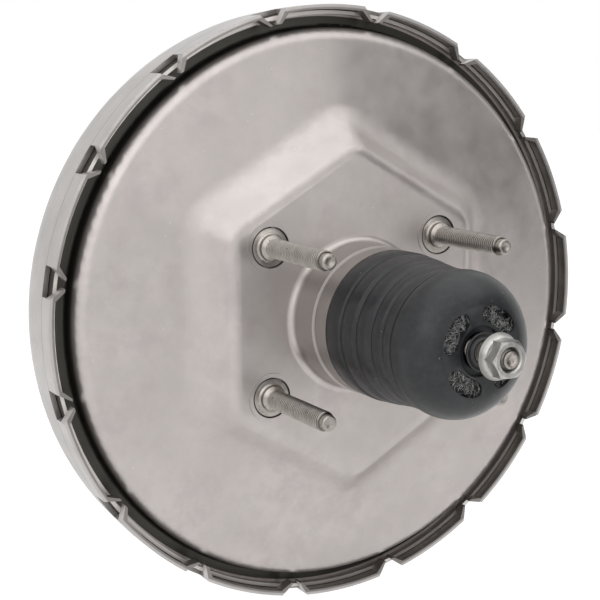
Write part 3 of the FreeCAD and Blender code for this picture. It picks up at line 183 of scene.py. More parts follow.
camera_place = (-0.28870, -0.47431, 0.10184)
camera_turn = math.radians(-28.909)
camera_lift = math.radians(9.793)
camera_roll = math.radians(-0.283)
back = Vector((math.sin(camera_turn) * math.cos(camera_lift),
               -math.cos(camera_turn) * math.cos(camera_lift),
               math.sin(camera_lift)))
bpy.ops.object.camera_add(location=camera_place)
camera = bpy.context.object
camera.rotation_mode = "QUATERNION"
camera.rotation_quaternion = (-back).to_track_quat("-Z", "Y") @ Quaternion((0, 0, 1), camera_roll)
camera.data.lens = 81.94
camera.data.sensor_width = 36.0
camera.data.clip_start = 0.01
scene.camera = camera

# Rear shell.
# Deep drawn steel disc, zinc-nickel plated: dished, with a six sided boss for the
# firewall and a neck drawn out of its middle. The finish is satin, cloudy and dusty.

weld = 2e-6


def pick(piece):
    """Select this piece alone and make it the active one."""
    bpy.ops.object.select_all(action="DESELECT")
    piece.select_set(True)
    bpy.context.view_layer.objects.active = piece


def dress(piece, paint, slot, body, *nodes):
    """Give a new piece its finish and the body it moves with, and hide the CAD nodes it stands for."""
    piece.data.materials.clear()
    piece.data.materials.append(paint)
    if nodes:
        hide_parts(*nodes)
    if body:
        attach(piece, body)
    return piece


def smooth_copy(node, body, slot, paint, angle=32):
    """The CAD piece with its triangles joined into one skin, shaded smooth between its edges."""
    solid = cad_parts[node]
    piece = bpy.data.objects.new(node + "_skin", solid.data.copy())
    scene.collection.objects.link(piece)
    pick(piece)
    bpy.ops.object.mode_set(mode="EDIT")
    bpy.ops.mesh.select_all(action="SELECT")
    bpy.ops.mesh.remove_doubles(threshold=weld)
    bpy.ops.mesh.select_all(action="DESELECT")
    bpy.ops.mesh.select_mode(type="EDGE")
    bpy.ops.mesh.edges_select_sharp(sharpness=math.radians(angle))
    bpy.ops.mesh.mark_sharp()
    bpy.ops.mesh.select_mode(type="VERT")
    bpy.ops.object.mode_set(mode="OBJECT")
    bpy.ops.mesh.customdata_custom_splitnormals_clear()
    bpy.ops.object.shade_smooth_by_angle(angle=math.radians(angle))
    flatten = piece.modifiers.new("flat_faces", "WEIGHTED_NORMAL")
    flatten.keep_sharp = True
    bpy.ops.object.modifier_apply(modifier=flatten.name)
    return dress(piece, paint, slot, body, node)


def new_group(name, inputs, outputs):
    """A node group with number inputs, and outputs that are numbers."""
    group = bpy.data.node_groups.new(name, "ShaderNodeTree")
    for word, value in inputs.items():
        socket = group.interface.new_socket(word, in_out="INPUT", socket_type="NodeSocketFloat")
        socket.default_value = value
    for word in outputs:
        group.interface.new_socket(word, in_out="OUTPUT", socket_type="NodeSocketFloat")
    ends = (add_node(group, "NodeGroupInput").outputs, add_node(group, "NodeGroupOutput").inputs)
    return group, ends[0], ends[1]


def on_piece(tree):
    """Places on the piece itself, so that its textures move with it."""
    return add_node(tree, "ShaderNodeTexCoord").outputs["Object"]


def noise(tree, **inputs):
    return add_node(tree, "ShaderNodeTexNoise", {"Vector": on_piece(tree), **inputs}).outputs["Fac"]


# Cloud: slow patches of tone, from Low to High
cloud, given, result = new_group("cloud", {"Size": 30.0, "Low": 0.0, "High": 1.0}, ["Tone"])
patches = noise(cloud, Scale=given["Size"], Detail=5.0, Roughness=0.62)
spread = ramp(cloud, patches, 0.32, 0.68, low=given["Low"], high=given["High"])
cloud.links.new(spread, result["Tone"])

# Grain: the fine orange peel of a drawn and plated sheet, as a height
grain, given, result = new_group("grain", {"Size": 2600.0, "Coarse": 0.3}, ["Height"])
coarse_share = 0.16
fine = noise(grain, Scale=given["Size"], Detail=3.0, Roughness=0.7)
coarse = noise(grain, Scale=maths(grain, "MULTIPLY", given["Size"], coarse_share), Detail=2.0)
blend_heights = add_node(grain, "ShaderNodeMix", {"Factor": given["Coarse"], 2: fine, 3: coarse})
grain.links.new(blend_heights.outputs[0], result["Height"])

# Specks: small scattered dots, dust or pits, as a mask
specks, given, result = new_group("specks", {"Size": 500.0, "Share": 0.1, "Dot": 0.16}, ["Mask"])
cells = add_node(specks, "ShaderNodeTexVoronoi", {"Vector": on_piece(specks), "Scale": given["Size"]})
near = maths(specks, "LESS_THAN", cells.outputs["Distance"], given["Dot"])
split = add_node(specks, "ShaderNodeSeparateColor", {"Color": cells.outputs["Color"]})
chosen = maths(specks, "LESS_THAN", split.outputs[0], given["Share"])
specks.links.new(maths(specks, "MULTIPLY", near, chosen), result["Mask"])


def effect(tree, group, **inputs):
    """A shared node group with its own numbers."""
    node = add_node(tree, "ShaderNodeGroup", node_tree=group)
    for word, value in inputs.items():
        node.inputs[word].default_value = value
    return node.outputs[0]


def new_paint(name, **sockets):
    """A material with its shader's own constants set."""
    paint = bpy.data.materials.new(name)
    paint.use_nodes = True
    shader = paint.node_tree.nodes["Principled BSDF"]
    for word, value in sockets.items():
        shader.inputs[word.replace("_", " ")].default_value = value
    return paint, paint.node_tree, shader


def mix_colours(tree, mask, first, second):
    node = add_node(tree, "ShaderNodeMix", {"Factor": mask}, data_type="RGBA")
    for place, colour in ((6, first), (7, second)):
        if isinstance(colour, bpy.types.NodeSocket):
            tree.links.new(colour, node.inputs[place])
        else:
            node.inputs[place].default_value = (*colour, 1)
    return node.outputs[2]


def bump(tree, shader, height, depth, strength=1.0, form=None):
    """Raise the skin by a height; form is the normal of a larger shape under it."""
    node = add_node(tree, "ShaderNodeBump", {"Height": height, "Distance": depth, "Strength": strength})
    if form:
        tree.links.new(form, node.inputs["Normal"])
    tree.links.new(node.outputs[0], shader.inputs["Normal"])
    return node.outputs[0]


def finish(tree, shader, tone, patch, smooth, rough, relief, depth, strength=0.5, form=None):
    """Set the colour, a roughness that goes from smooth to rough in patches, and the fine relief."""
    tree.links.new(tone, shader.inputs["Base Color"])
    tree.links.new(effect(tree, cloud, Size=patch, Low=smooth, High=rough), shader.inputs["Roughness"])
    bump(tree, shader, relief, depth, strength, form)


def split_axes(tree):
    return add_node(tree, "ShaderNodeSeparateXYZ", {"Vector": on_piece(tree)}).outputs


def flat_arm(tree, across, up):
    """The arm that reaches across and up from an axis along Y, and its length."""
    arm = add_node(tree, "ShaderNodeCombineXYZ", {"X": across, "Z": up}).outputs[0]
    return arm, add_node(tree, "ShaderNodeVectorMath", {0: arm}, operation="LENGTH").outputs["Value"]


def ring_place(tree):
    """Distance from the Y axis and place along it, both in metres, and the flat arm that reaches there."""
    axes = split_axes(tree)
    arm, reach = flat_arm(tree, axes["X"], axes["Z"])
    return reach, axes["Y"], arm


def from_studs(tree, across, up):
    """Distance from the axis along Y of a stud; the studs stand across and up from the middle, both ways."""
    axes = split_axes(tree)
    offsets = []
    for letter, middle in (("X", across), ("Z", up)):
        folded = maths(tree, "ABSOLUTE", axes[letter])
        offsets.append(maths(tree, "SUBTRACT", folded, middle))
    return flat_arm(tree, *offsets)[1]


def product(tree, first, *others):
    for other in others:
        first = maths(tree, "MULTIPLY", first, other)
    return first


# Six shallow planes run from the boss out to the rim, so the dish is a soft pyramid
pyramid_foot = 0.070
pyramid_fall = 0.11
soft_corner = 0.006
pyramid, given, result = new_group("pyramid", {"Foot": pyramid_foot}, ["Height"])
axes = split_axes(pyramid)
plane_turn = math.radians(60)
folded = []
for letter in "XZ":
    square = maths(pyramid, "MULTIPLY", axes[letter], axes[letter])
    softer = maths(pyramid, "ADD", square, soft_corner ** 2)
    folded.append(maths(pyramid, "SQRT", softer))
slant_x = maths(pyramid, "MULTIPLY", folded[0], math.cos(plane_turn))
slant = maths(pyramid, "MULTIPLY_ADD", folded[1], math.sin(plane_turn), slant_x)
six_sided = maths(pyramid, "SMOOTH_MAX", folded[0], slant, soft_corner)
from_foot = maths(pyramid, "SUBTRACT", six_sided, given["Foot"])
fall = maths(pyramid, "SMOOTH_MAX", from_foot, 0.0, soft_corner)
pyramid.links.new(maths(pyramid, "MULTIPLY", fall, -1.0), result["Height"])

# Where each tone of the shell, painted shade and painted highlight among them, starts and is full, as radii
# or as places along Y
lip_inside = 0.1218
lip_outside = 0.1238
channel_wall = (0.0172, 0.0210)
channel_top = (lip_inside, lip_inside - 0.0004)
lip_flat = (lip_inside + 0.0003, lip_inside + 0.0005)
lip_rear = (0.0226, 0.0222)
lip_edge = (lip_outside - 0.0001, lip_outside)
neck_wall = (0.0312, 0.0300)
neck_length = (-0.0005, -0.0030)
stud_places = (0.040, 0.0305)
collar_ring = (0.0085, 0.0082)
neck_shade = 0.42
collar_shade = 0.85
plated_steel, tree, shader = new_paint("plated_steel", Metallic=0.82)
light_patch = effect(tree, cloud, Size=22.0)
stain_patch = effect(tree, cloud, Size=150.0, Low=-0.4, High=0.75)
blush_patch = effect(tree, cloud, Size=48.0, Low=-0.9, High=0.7)
dust_specks = effect(tree, specks, Size=520.0, Share=0.025, Dot=0.10)
warm = mix_colours(tree, light_patch, (0.452, 0.416, 0.400), (0.540, 0.500, 0.482))
stained = mix_colours(tree, stain_patch, warm, (0.468, 0.434, 0.418))
blushed = mix_colours(tree, blush_patch, stained, (0.435, 0.385, 0.378))
dusty = mix_colours(tree, dust_specks, blushed, (0.72, 0.70, 0.68))
reach, depth = ring_place(tree)[:2]
# The neck's wall, from just behind the disc's face, is painted darker as shade.
neck_shade_mask = product(tree, ramp(tree, reach, *neck_wall), ramp(tree, depth, *neck_length), neck_shade)
neck_shaded = mix_colours(tree, neck_shade_mask, dusty, (0.170, 0.158, 0.148))
# A ring round each stud's collar is painted dark as shade, where the gap round the collar lies.
collar_shade_mask = product(tree, ramp(tree, from_studs(tree, *stud_places), *collar_ring), collar_shade)
collar_shaded = mix_colours(tree, collar_shade_mask, neck_shaded, (0.060, 0.054, 0.050))
# The lip's rear face is painted lighter, a painted highlight that makes up for the strips' shade on it.
lip_highlight_mask = product(tree, ramp(tree, reach, *lip_flat), ramp(tree, depth, *lip_rear))
lip_highlighted = mix_colours(tree, lip_highlight_mask, collar_shaded, (0.62, 0.59, 0.56))
# The lip's outermost edge, tucked under the strips, is painted dark as shade.
lip_edge_shaded = mix_colours(tree, ramp(tree, reach, *lip_edge), lip_highlighted, (0.070, 0.062, 0.055))
# The deep channel between the disc's edge and the lip is painted near black as shade.
channel_shade_mask = product(tree, ramp(tree, depth, *channel_wall), ramp(tree, reach, *channel_top))
channel_shaded = mix_colours(tree, channel_shade_mask, lip_edge_shaded, (0.056, 0.053, 0.046))
planes = bump(tree, shader, effect(tree, pyramid), pyramid_fall)
finish(tree, shader, channel_shaded, patch=60.0, smooth=0.36, rough=0.47,
       relief=effect(tree, grain, Size=2300.0, Coarse=0.35), depth=0.00006, strength=0.55, form=planes)
smooth_copy("rear_shell", "shell", "shell_bright", plated_steel)

# Front shell.
# The bowl that holds the vacuum, drawn from the same plated steel. Its rim is folded over the
# rear shell by lances; the folded strips are painted brown-black, as shade, on the side that faces the axis.

rim_inside = (0.1258, 0.1254)
fold_front = 0.0272
fold_end = (fold_front, fold_front - 0.001)
strip_rear = (0.0176, 0.0174)
strip_inside = (0.1252, 0.1247)
step_behind = (fold_front - 0.0012, fold_front - 0.0006)
step_before = (fold_front + 0.0008, fold_front + 0.0002)
towards_axis = (-0.03, -0.07)
strip_shade = 0.7
step_shade = 0.6
plated_bowl, tree, shader = new_paint("plated_bowl")
body_tone = mix_colours(tree, effect(tree, cloud, Size=26.0), (0.420, 0.400, 0.388), (0.530, 0.508, 0.496))
reach, depth, arm = ring_place(tree)
facing = add_node(tree, "ShaderNodeNewGeometry").outputs["True Normal"]
outward = add_node(tree, "ShaderNodeVectorMath", {0: facing, 1: arm}, operation="DOT_PRODUCT")
inner_side = ramp(tree, outward.outputs["Value"], *towards_axis)
# The strips' side that faces the axis is painted brown-black as shade.
rim_shade_mask = product(tree, inner_side, ramp(tree, reach, *rim_inside), ramp(tree, depth, *fold_end))
rim_shade_tone = mix_colours(tree, effect(tree, cloud, Size=90.0), (0.090, 0.078, 0.069), (0.165, 0.146, 0.131))
# The inner part of each strip's rear edge is painted dark as shade.
strip_edge_shade_mask = product(tree, ramp(tree, depth, *strip_rear), ramp(tree, reach, *strip_inside), strip_shade)
# A dark line at the step in front of the fold is painted shade.
step_shade_mask = product(tree, ramp(tree, depth, *step_behind), ramp(tree, depth, *step_before), step_shade)
step_shaded = mix_colours(tree, step_shade_mask, body_tone, (0.150, 0.140, 0.132))
strip_edge_shaded = mix_colours(tree, strip_edge_shade_mask, step_shaded, rim_shade_tone)
rim_shaded = mix_colours(tree, rim_shade_mask, strip_edge_shaded, rim_shade_tone)
dust_specks = effect(tree, specks, Size=480.0, Share=0.05, Dot=0.12)
bowl_dust = mix_colours(tree, dust_specks, rim_shaded, (0.78, 0.77, 0.75))
# Where the strips carry painted shade they are also made less metallic.
tree.links.new(ramp(tree, rim_shade_mask, 0, 1, low=0.82, high=0.30), shader.inputs["Metallic"])
finish(tree, shader, bowl_dust, patch=70.0, smooth=0.34, rough=0.46,
       relief=effect(tree, grain, Size=2200.0, Coarse=0.4), depth=0.00006, strength=0.6)
bowl = smooth_copy("front_shell", "shell", "shell_dark", plated_bowl)
flap_reach = 0.1204
flap_rear = 0.0165
flap_front = 0.0230
for vertex in bowl.data.vertices:
    across = math.hypot(vertex.co.x, vertex.co.z)
    if across < flap_reach and flap_rear < vertex.co.y < flap_front:
        vertex.co.x *= flap_reach / across
        vertex.co.z *= flap_reach / across

# Firewall studs.
# Cold headed M8 studs with rolled threads, bright and slightly oily. Each is pressed through the
# reinforcement plate: collar flush in the shell, shoulder, thread, and a plain dog point.


def start_point(name, place):
    """A mesh of one point: a small plane merged to its middle."""
    bpy.ops.object.select_all(action="DESELECT")
    bpy.ops.mesh.primitive_plane_add(size=0.001, location=place)
    piece = bpy.context.object
    piece.name = name
    bpy.ops.object.transform_apply(location=True, rotation=True, scale=True)
    bpy.ops.object.mode_set(mode="EDIT")
    bpy.ops.mesh.select_all(action="SELECT")
    bpy.ops.mesh.merge(type="CENTER")
    bpy.ops.mesh.select_all(action="SELECT")
    return piece


def draw_on(corners):
    """Extrude the selected point through (radius, y) corners."""
    for (radius, y), (next_radius, next_y) in zip(corners, corners[1:]):
        step = (next_radius - radius, next_y - y, 0)
        bpy.ops.mesh.extrude_vertices_move(TRANSFORM_OT_translate={"value": step})


def round_off(piece, width, angle=30, segments=2):
    """Break the sharp edges, then shade smooth between the ones that are left."""
    pick(piece)
    if width:
        edge = piece.modifiers.new("broken_edges", "BEVEL")
        edge.width = width
        edge.segments = segments
        edge.angle_limit = math.radians(angle)
        bpy.ops.object.modifier_apply(modifier=edge.name)
    bpy.ops.object.shade_smooth_by_angle(angle=math.radians(angle))
    return piece


def turned(name, corners, place=(0, 0), sides=96, edge=0.0002):
    """A turned piece: an outline of (radius, y) corners spun about an axis along Y."""
    middle = (place[0], 0, place[1])
    piece = start_point(name, (place[0] + corners[0][0], corners[0][1], place[1]))
    draw_on(corners)
    bpy.ops.mesh.select_all(action="SELECT")
    bpy.ops.mesh.spin(steps=sides, angle=2 * math.pi, center=middle, axis=(0, 1, 0))
    bpy.ops.mesh.select_all(action="SELECT")
    bpy.ops.mesh.remove_doubles(threshold=weld)
    bpy.ops.mesh.normals_make_consistent(inside=False)
    bpy.ops.object.mode_set(mode="OBJECT")
    return round_off(piece, edge)


def thread(name, radius, pitch, rear_y, front_y, place=(0, 0)):
    """A rolled thread: one ridge swept round and along the Y axis, cut square at both ends."""
    root = radius - 0.6 * pitch
    ridge = [(root, 0), (root, 0.12 * pitch), (radius, 0.42 * pitch), (radius, 0.56 * pitch),
             (root, 0.88 * pitch), (root, pitch)]
    start = rear_y - 1.5 * pitch
    turns = math.ceil((front_y - rear_y) / pitch) + 3
    facets = 28
    piece = start_point(name, (root, 0, 0))
    draw_on(ridge)
    bpy.ops.object.mode_set(mode="OBJECT")
    sweep = piece.modifiers.new("helix", "SCREW")
    sweep.axis = "Y"
    sweep.screw_offset = pitch
    sweep.iterations = turns
    sweep.steps = facets
    sweep.render_steps = facets
    sweep.use_merge_vertices = True
    sweep.merge_threshold = 1e-6
    bpy.ops.object.modifier_apply(modifier=sweep.name)
    piece.location = (place[0], start, place[1])
    bpy.ops.object.transform_apply(location=True, rotation=True, scale=True)
    bpy.ops.object.mode_set(mode="EDIT")
    for cut_y, rear in ((rear_y, True), (front_y, False)):
        bpy.ops.mesh.select_all(action="SELECT")
        bpy.ops.mesh.bisect(plane_co=(0, cut_y, 0), plane_no=(0, 1, 0), use_fill=True,
                            clear_inner=rear, clear_outer=not rear)
    bpy.ops.mesh.select_all(action="SELECT")
    bpy.ops.mesh.remove_doubles(threshold=weld)
    bpy.ops.mesh.normals_make_consistent(inside=False)
    bpy.ops.object.mode_set(mode="OBJECT")
    for vertex in piece.data.vertices:
        across = Vector((vertex.co.x - place[0], vertex.co.z - place[1]))
        from_end = min(vertex.co.y - rear_y, front_y - vertex.co.y)
        allowed = root + 0.1 * pitch + from_end * 0.6
        if across.length > allowed:
            across *= allowed / across.length
            vertex.co.x = place[0] + across.x
            vertex.co.z = place[1] + across.y
    return round_off(piece, 0, angle=40)


def join(name, pieces):
    bpy.ops.object.select_all(action="DESELECT")
    for piece in pieces:
        piece.select_set(True)
    bpy.context.view_layer.objects.active = pieces[0]
    bpy.ops.object.join()
    pieces[0].name = name
    return pieces[0]


# Turning marks: fine rings left by a tool, as a height that changes along one axis only
turning, given, result = new_group("turning", {"Size": 6000.0}, ["Height"])
distance = maths(turning, "MULTIPLY", split_axes(turning)["Y"], given["Size"])
marks = add_node(turning, "ShaderNodeTexNoise", {"W": distance, "Scale": 1.0, "Detail": 2.0},
                 noise_dimensions="1D")
turning.links.new(marks.outputs["Fac"], result["Height"])


def stud_steel(name, across, up):
    """Plated stud steel, with painted shade in the root of the thread and round the collar's edge."""
    paint, tree, shader = new_paint(name, Metallic=1.0)
    reach = from_studs(tree, across, up)
    tone = mix_colours(tree, effect(tree, cloud, Size=260.0), (0.30, 0.275, 0.250), (0.42, 0.392, 0.362))
    oil_specks = effect(tree, specks, Size=900.0, Share=0.16, Dot=0.3)
    oily = mix_colours(tree, oil_specks, tone, (0.20, 0.18, 0.16))
    # The thread's roots are painted darker as shade, except on the dog point.
    root_shade_mask = ramp(tree, reach, stud_radius - 0.00010, stud_root + 0.00025, high=0.85)
    off_point = ramp(tree, reach, dog_point + 0.00004, dog_point + 0.00008)
    shaded = mix_colours(tree, product(tree, root_shade_mask, off_point), oily, (0.085, 0.076, 0.068))
    # The collar's outer edge is painted dark as shade, where the gap round it lies.
    collar_shaded = mix_colours(tree, ramp(tree, reach, *collar_edge), shaded, (0.060, 0.054, 0.050))
    finish(tree, shader, collar_shaded, patch=300.0, smooth=0.28, rough=0.42,
           relief=effect(tree, turning, Size=7000.0), depth=0.00002)
    return paint


stud_radius = 0.0040
stud_pitch = 0.00125
stud_root = stud_radius - 0.62 * stud_pitch
stud_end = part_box("firewall_studs")[0].y
stud_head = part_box("firewall_studs")[1].y
stud_spacing = (0.080, 0.061)
shoulder_length = 0.0030
point_length = 0.0028
dog_point = 0.0031
shank = 0.0052
collar_radius = 0.0079
collar_edge = (0.0076, 0.0078)
head_radius = 0.0070
plate_faces = (0.0016, 0.0046)
studs = []
for side_x in (-0.5, 0.5):
    for side_z in (-0.5, 0.5):
        place = (stud_spacing[0] * side_x, stud_spacing[1] * side_z)
        blank = turned("stud_blank", [
            (0, stud_end + 0.0002),
            (0.0014, stud_end + 0.0001),
            (0.0017, stud_end),
            (dog_point - 0.0005, stud_end),
            (dog_point, stud_end + 0.0005),
            (dog_point, stud_end + point_length),
            (stud_root, stud_end + point_length + 0.0003),
            (stud_root, -shoulder_length - 0.0008),
            (shank - 0.0012, -shoulder_length - 0.0004),
            (shank, -shoulder_length + 0.0006),
            (shank, -0.0006),
            (shank + 0.0008, 0),
            (collar_radius, 0),
            (collar_radius, plate_faces[0]),
            (shank, plate_faces[0]),
            (shank, plate_faces[1]),
            (head_radius, plate_faces[1]),
            (head_radius, stud_head - 0.0004),
            (head_radius - 0.0008, stud_head),
            (0, stud_head),
        ], place, sides=48, edge=0.00012)
        thread_ends = (stud_end + point_length, -shoulder_length - 0.0004)
        ridge = thread("stud_thread", stud_radius, stud_pitch, *thread_ends, place)
        studs += [blank, ridge]
bulkhead_steel = stud_steel("bulkhead_steel", stud_spacing[0] / 2, stud_spacing[1] / 2)
dress(join("bulkhead_studs", studs), bulkhead_steel, "stud_steel", "shell", "firewall_studs")

# Master cylinder studs.
# Two more M8 studs in the front face, of the same make but shorter. They hold the master
# cylinder, one on each side.

front_place = 0.042
front_low, front_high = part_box("master_cylinder_studs")
front_face = 0.080
front_studs = []
for side in (-1, 1):
    place = (front_place * side, 0)
    blank = turned("front_blank", [
        (0, front_high.y - 0.0002),
        (dog_point - 0.0010, front_high.y),
        (dog_point, front_high.y - 0.0006),
        (dog_point, front_high.y - 0.0016),
        (stud_root, front_high.y - 0.0024),
        (stud_root, front_face + 0.0006),
        (shank - 0.0004, front_face + 0.0003),
        (shank - 0.0004, front_low.y + 0.0020),
        (head_radius, front_low.y + 0.0020),
        (head_radius, front_low.y + 0.0004),
        (head_radius - 0.0008, front_low.y),
        (0, front_low.y),
    ], place, sides=48, edge=0.00012)
    thread_ends = (front_face + 0.0004, front_high.y - 0.0016)
    ridge = thread("front_thread", stud_radius, stud_pitch, *thread_ends, place)
    front_studs += [blank, ridge]
flange_steel = stud_steel("flange_steel", front_place, 0)
dress(join("flange_studs", front_studs), flange_steel, "stud_steel", "shell", "master_cylinder_studs")

# Dust boot.
# Injection moulded rubber bellows. Its band grips the neck's spigot; shallow folds, a seam and
# a domed nose follow, with four kidney shaped vents round the hub that holds the grommet.

boot_wall = 0.0022
boot_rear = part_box("dust_boot")[0].y
boot_start = -0.0259
hub_recess = 0.0021
hub_radius = 0.0092
hub_hole = 0.0068
spigot = 0.0278
# Corners as (radius, y): the outside from the band to the hub, then the inside back to the band
boot_outline = [
    (0.0294, boot_start), (0.0297, -0.0262), (0.0298, -0.0300), (0.0299, -0.0338), (0.0297, -0.0348),
    (0.0289, -0.0355), (0.0290, -0.0361), (0.0293, -0.0368), (0.0293, -0.0400), (0.0290, -0.0436),
    (0.0283, -0.0446), (0.0279, -0.0451), (0.0281, -0.0458), (0.0283, -0.0466), (0.0282, -0.0498),
    (0.0279, -0.0524), (0.0272, -0.0534), (0.0268, -0.0540), (0.0270, -0.0547), (0.0274, -0.0556),
    (0.0275, -0.0578), (0.0272, -0.0600), (0.0266, -0.0607), (0.0264, -0.0612), (0.0267, -0.0619),
    (0.0272, -0.0628), (0.0275, -0.0646), (0.0274, -0.0663), (0.0270, -0.0670), (0.0264, -0.0673),
    (0.0264, -0.0677), (0.0273, -0.0682), (0.0278, -0.0696), (0.0280, -0.0714), (0.0279, -0.0736),
    (0.0274, -0.0759), (0.0266, -0.0780), (0.0255, -0.0799), (0.0241, -0.0817), (0.0225, -0.0832),
    (0.0207, -0.0845), (0.0191, -0.0854), (0.0178, -0.0860), (0.0164, -0.0864), (0.0130, boot_rear),
    (hub_radius + 0.0004, boot_rear), (hub_radius, boot_rear + 0.0003),
]
hub_floor = boot_rear + hub_recess
inner_nose = boot_rear + boot_wall
boot_inside = [
    (hub_radius, hub_floor), (hub_hole, hub_floor), (hub_hole, hub_floor + boot_wall),
    (hub_radius + boot_wall, hub_floor + boot_wall), (hub_radius + boot_wall, inner_nose),
    (0.0160, inner_nose), (0.0190, -0.0826), (0.0222, -0.0802), (0.0243, -0.0770), (0.0255, -0.0738),
    (0.0258, -0.0705), (0.0245, -0.0673), (0.0252, -0.0640), (0.0245, -0.0608), (0.0250, -0.0575),
    (0.0248, -0.0540), (0.0258, -0.0500), (0.0259, -0.0451), (0.0268, -0.0400), (0.0268, -0.0355),
    (spigot, -0.0318), (spigot, boot_start),
]
boot = turned("ribbed_boot", boot_outline + boot_inside + boot_outline[:1], sides=128, edge=0)


def kidney_cutter(turn, inner, outer, half_angle, rear_y, front_y):
    """A kidney shaped punch: a disc of points bent round the axis and pushed along it."""
    bpy.ops.object.select_all(action="DESELECT")
    bpy.ops.mesh.primitive_circle_add(vertices=36, radius=1.0, fill_type="NGON", location=(0, 0, 0))
    punch = bpy.context.object
    middle = (inner + outer) / 2
    fullness = 0.72
    for vertex in punch.data.vertices:
        angle = math.atan2(vertex.co.y, vertex.co.x)
        across = math.copysign(abs(math.cos(angle)) ** fullness, math.cos(angle))
        around = math.copysign(abs(math.sin(angle)) ** fullness, math.sin(angle))
        radius = middle + (outer - inner) / 2 * across
        bearing = turn + half_angle * around
        vertex.co = (radius * math.cos(bearing), rear_y, -radius * math.sin(bearing))
    bpy.ops.object.mode_set(mode="EDIT")
    bpy.ops.mesh.select_all(action="SELECT")
    bpy.ops.mesh.extrude_region_move(TRANSFORM_OT_translate={"value": (0, front_y - rear_y, 0)})
    bpy.ops.mesh.select_all(action="SELECT")
    bpy.ops.mesh.normals_make_consistent(inside=False)
    bpy.ops.object.mode_set(mode="OBJECT")
    return punch


def cut_away(piece, cutter, operation="DIFFERENCE"):
    """Cut the piece with another, or join or keep what both share, and drop the other."""
    pick(piece)
    cut = piece.modifiers.new("cut", "BOOLEAN")
    cut.operation = operation
    cut.solver = "EXACT"
    cut.object = cutter
    bpy.ops.object.modifier_apply(modifier=cut.name)
    bpy.data.objects.remove(cutter)


vent_inner = 0.0104
vent_outer = 0.0175
vent_half_angle = math.radians(33)
vent_phase = math.radians(57.5)
vent_count = 4
punch_ends = (boot_rear - 0.002, inner_nose + 0.0008)
for number in range(vent_count):
    turn = -vent_phase + 2 * math.pi * number / vent_count
    punch = kidney_cutter(turn, vent_inner, vent_outer, vent_half_angle, *punch_ends)
    cut_away(boot, punch)
round_off(boot, 0.00022, angle=48, segments=2)

rubber_boot, tree, shader = new_paint("rubber_boot", Specular_IOR_Level=0.40)
rubber_tone = mix_colours(tree, effect(tree, cloud, Size=80.0), (0.010, 0.011, 0.012), (0.020, 0.021, 0.023))
bloom_patch = effect(tree, cloud, Size=420.0, Low=-0.3, High=0.5)
bloom = mix_colours(tree, bloom_patch, rubber_tone, (0.032, 0.033, 0.035))
dust_specks = effect(tree, specks, Size=420.0, Share=0.04, Dot=0.09)
rubber_dust = mix_colours(tree, dust_specks, bloom, (0.24, 0.24, 0.24))
finish(tree, shader, rubber_dust, patch=50.0, smooth=0.30, rough=0.46,
       relief=effect(tree, grain, Size=3000.0, Coarse=0.5), depth=0.00003, strength=0.4)
dress(boot, rubber_boot, "rubber", None, "dust_boot")
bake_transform(boot)

# Felt filters.
# Black needled felt: a thick silencer behind the boot's vents and the filter inside the tail.
# Loose pale fibres stand out of the silencer where the vents show it.

felt, tree, shader = new_paint("needled_felt", Roughness=0.95, Specular_IOR_Level=0.1)
felt_tone = mix_colours(tree, effect(tree, cloud, Size=900.0), (0.020, 0.020, 0.020), (0.075, 0.075, 0.078))
pale_specks = effect(tree, specks, Size=2400.0, Share=0.16, Dot=0.34)
strands = mix_colours(tree, pale_specks, felt_tone, (0.16, 0.16, 0.165))
tree.links.new(strands, shader.inputs["Base Color"])
bump(tree, shader, effect(tree, grain, Size=2400.0, Coarse=0.6), 0.0005, 1.0)
smooth_copy("silencer", "power_piston", "felt", felt)
smooth_copy("air_filter", "power_piston", "felt", felt)

fibre_paint, tree, shader = new_paint("felt_fibre", Roughness=0.8)
fibre_tone = mix_colours(tree, effect(tree, cloud, Size=700.0), (0.12, 0.12, 0.12), (0.75, 0.75, 0.72))
tree.links.new(fibre_tone, shader.inputs["Base Color"])

fibre_count = 560
fibre_length = 0.0030
fibre_radius = 0.000045
felt_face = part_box("silencer")[0].y
bpy.ops.object.select_all(action="DESELECT")
bpy.ops.mesh.primitive_cylinder_add(vertices=3, radius=fibre_radius, depth=fibre_length, end_fill_type="NGON")
fibre = bpy.context.object
bpy.ops.object.mode_set(mode="EDIT")
for share in (-0.3, -0.1, 0.1, 0.3):
    bpy.ops.mesh.select_all(action="SELECT")
    bpy.ops.mesh.bisect(plane_co=(0, 0, share * fibre_length), plane_no=(0, 0, 1))
bpy.ops.object.mode_set(mode="OBJECT")
draw = random.Random(11)
fibres = []
for number in range(fibre_count):
    vent = number % vent_count
    bearing = vent_phase + 2 * math.pi * vent / vent_count + draw.uniform(-1, 1) * vent_half_angle
    radius = draw.uniform(vent_inner, vent_outer)
    strand = fibre.copy()
    strand.data = fibre.data.copy()
    scene.collection.objects.link(strand)
    curl = draw.uniform(-260, 260)
    lean = draw.uniform(-0.35, 0.35)
    lay = draw.uniform(0, 2 * math.pi)
    size = draw.uniform(0.5, 1.2)
    rise = draw.uniform(0.0002, 0.0019)
    for vertex in strand.data.vertices:
        along = vertex.co.z * size
        side = vertex.co.x + curl * along * along
        out = vertex.co.y + along * lean * 0.5
        flat_x = along * math.cos(lay) - side * math.sin(lay)
        flat_z = along * math.sin(lay) + side * math.cos(lay)
        place_x = radius * math.cos(bearing) + flat_x
        place_z = radius * math.sin(bearing) + flat_z
        vertex.co = (place_x, felt_face - rise - out, place_z)
    fibres.append(strand)
bpy.data.objects.remove(fibre)
dress(join("felt_fibres", fibres), fibre_paint, "felt", "power_piston")

# Pedal rod.
# Turned steel push rod with a ball end in the plunger and an M8 thread for the clevis.
# Its end is chamfered and has a shallow dimple from the lathe's centre.

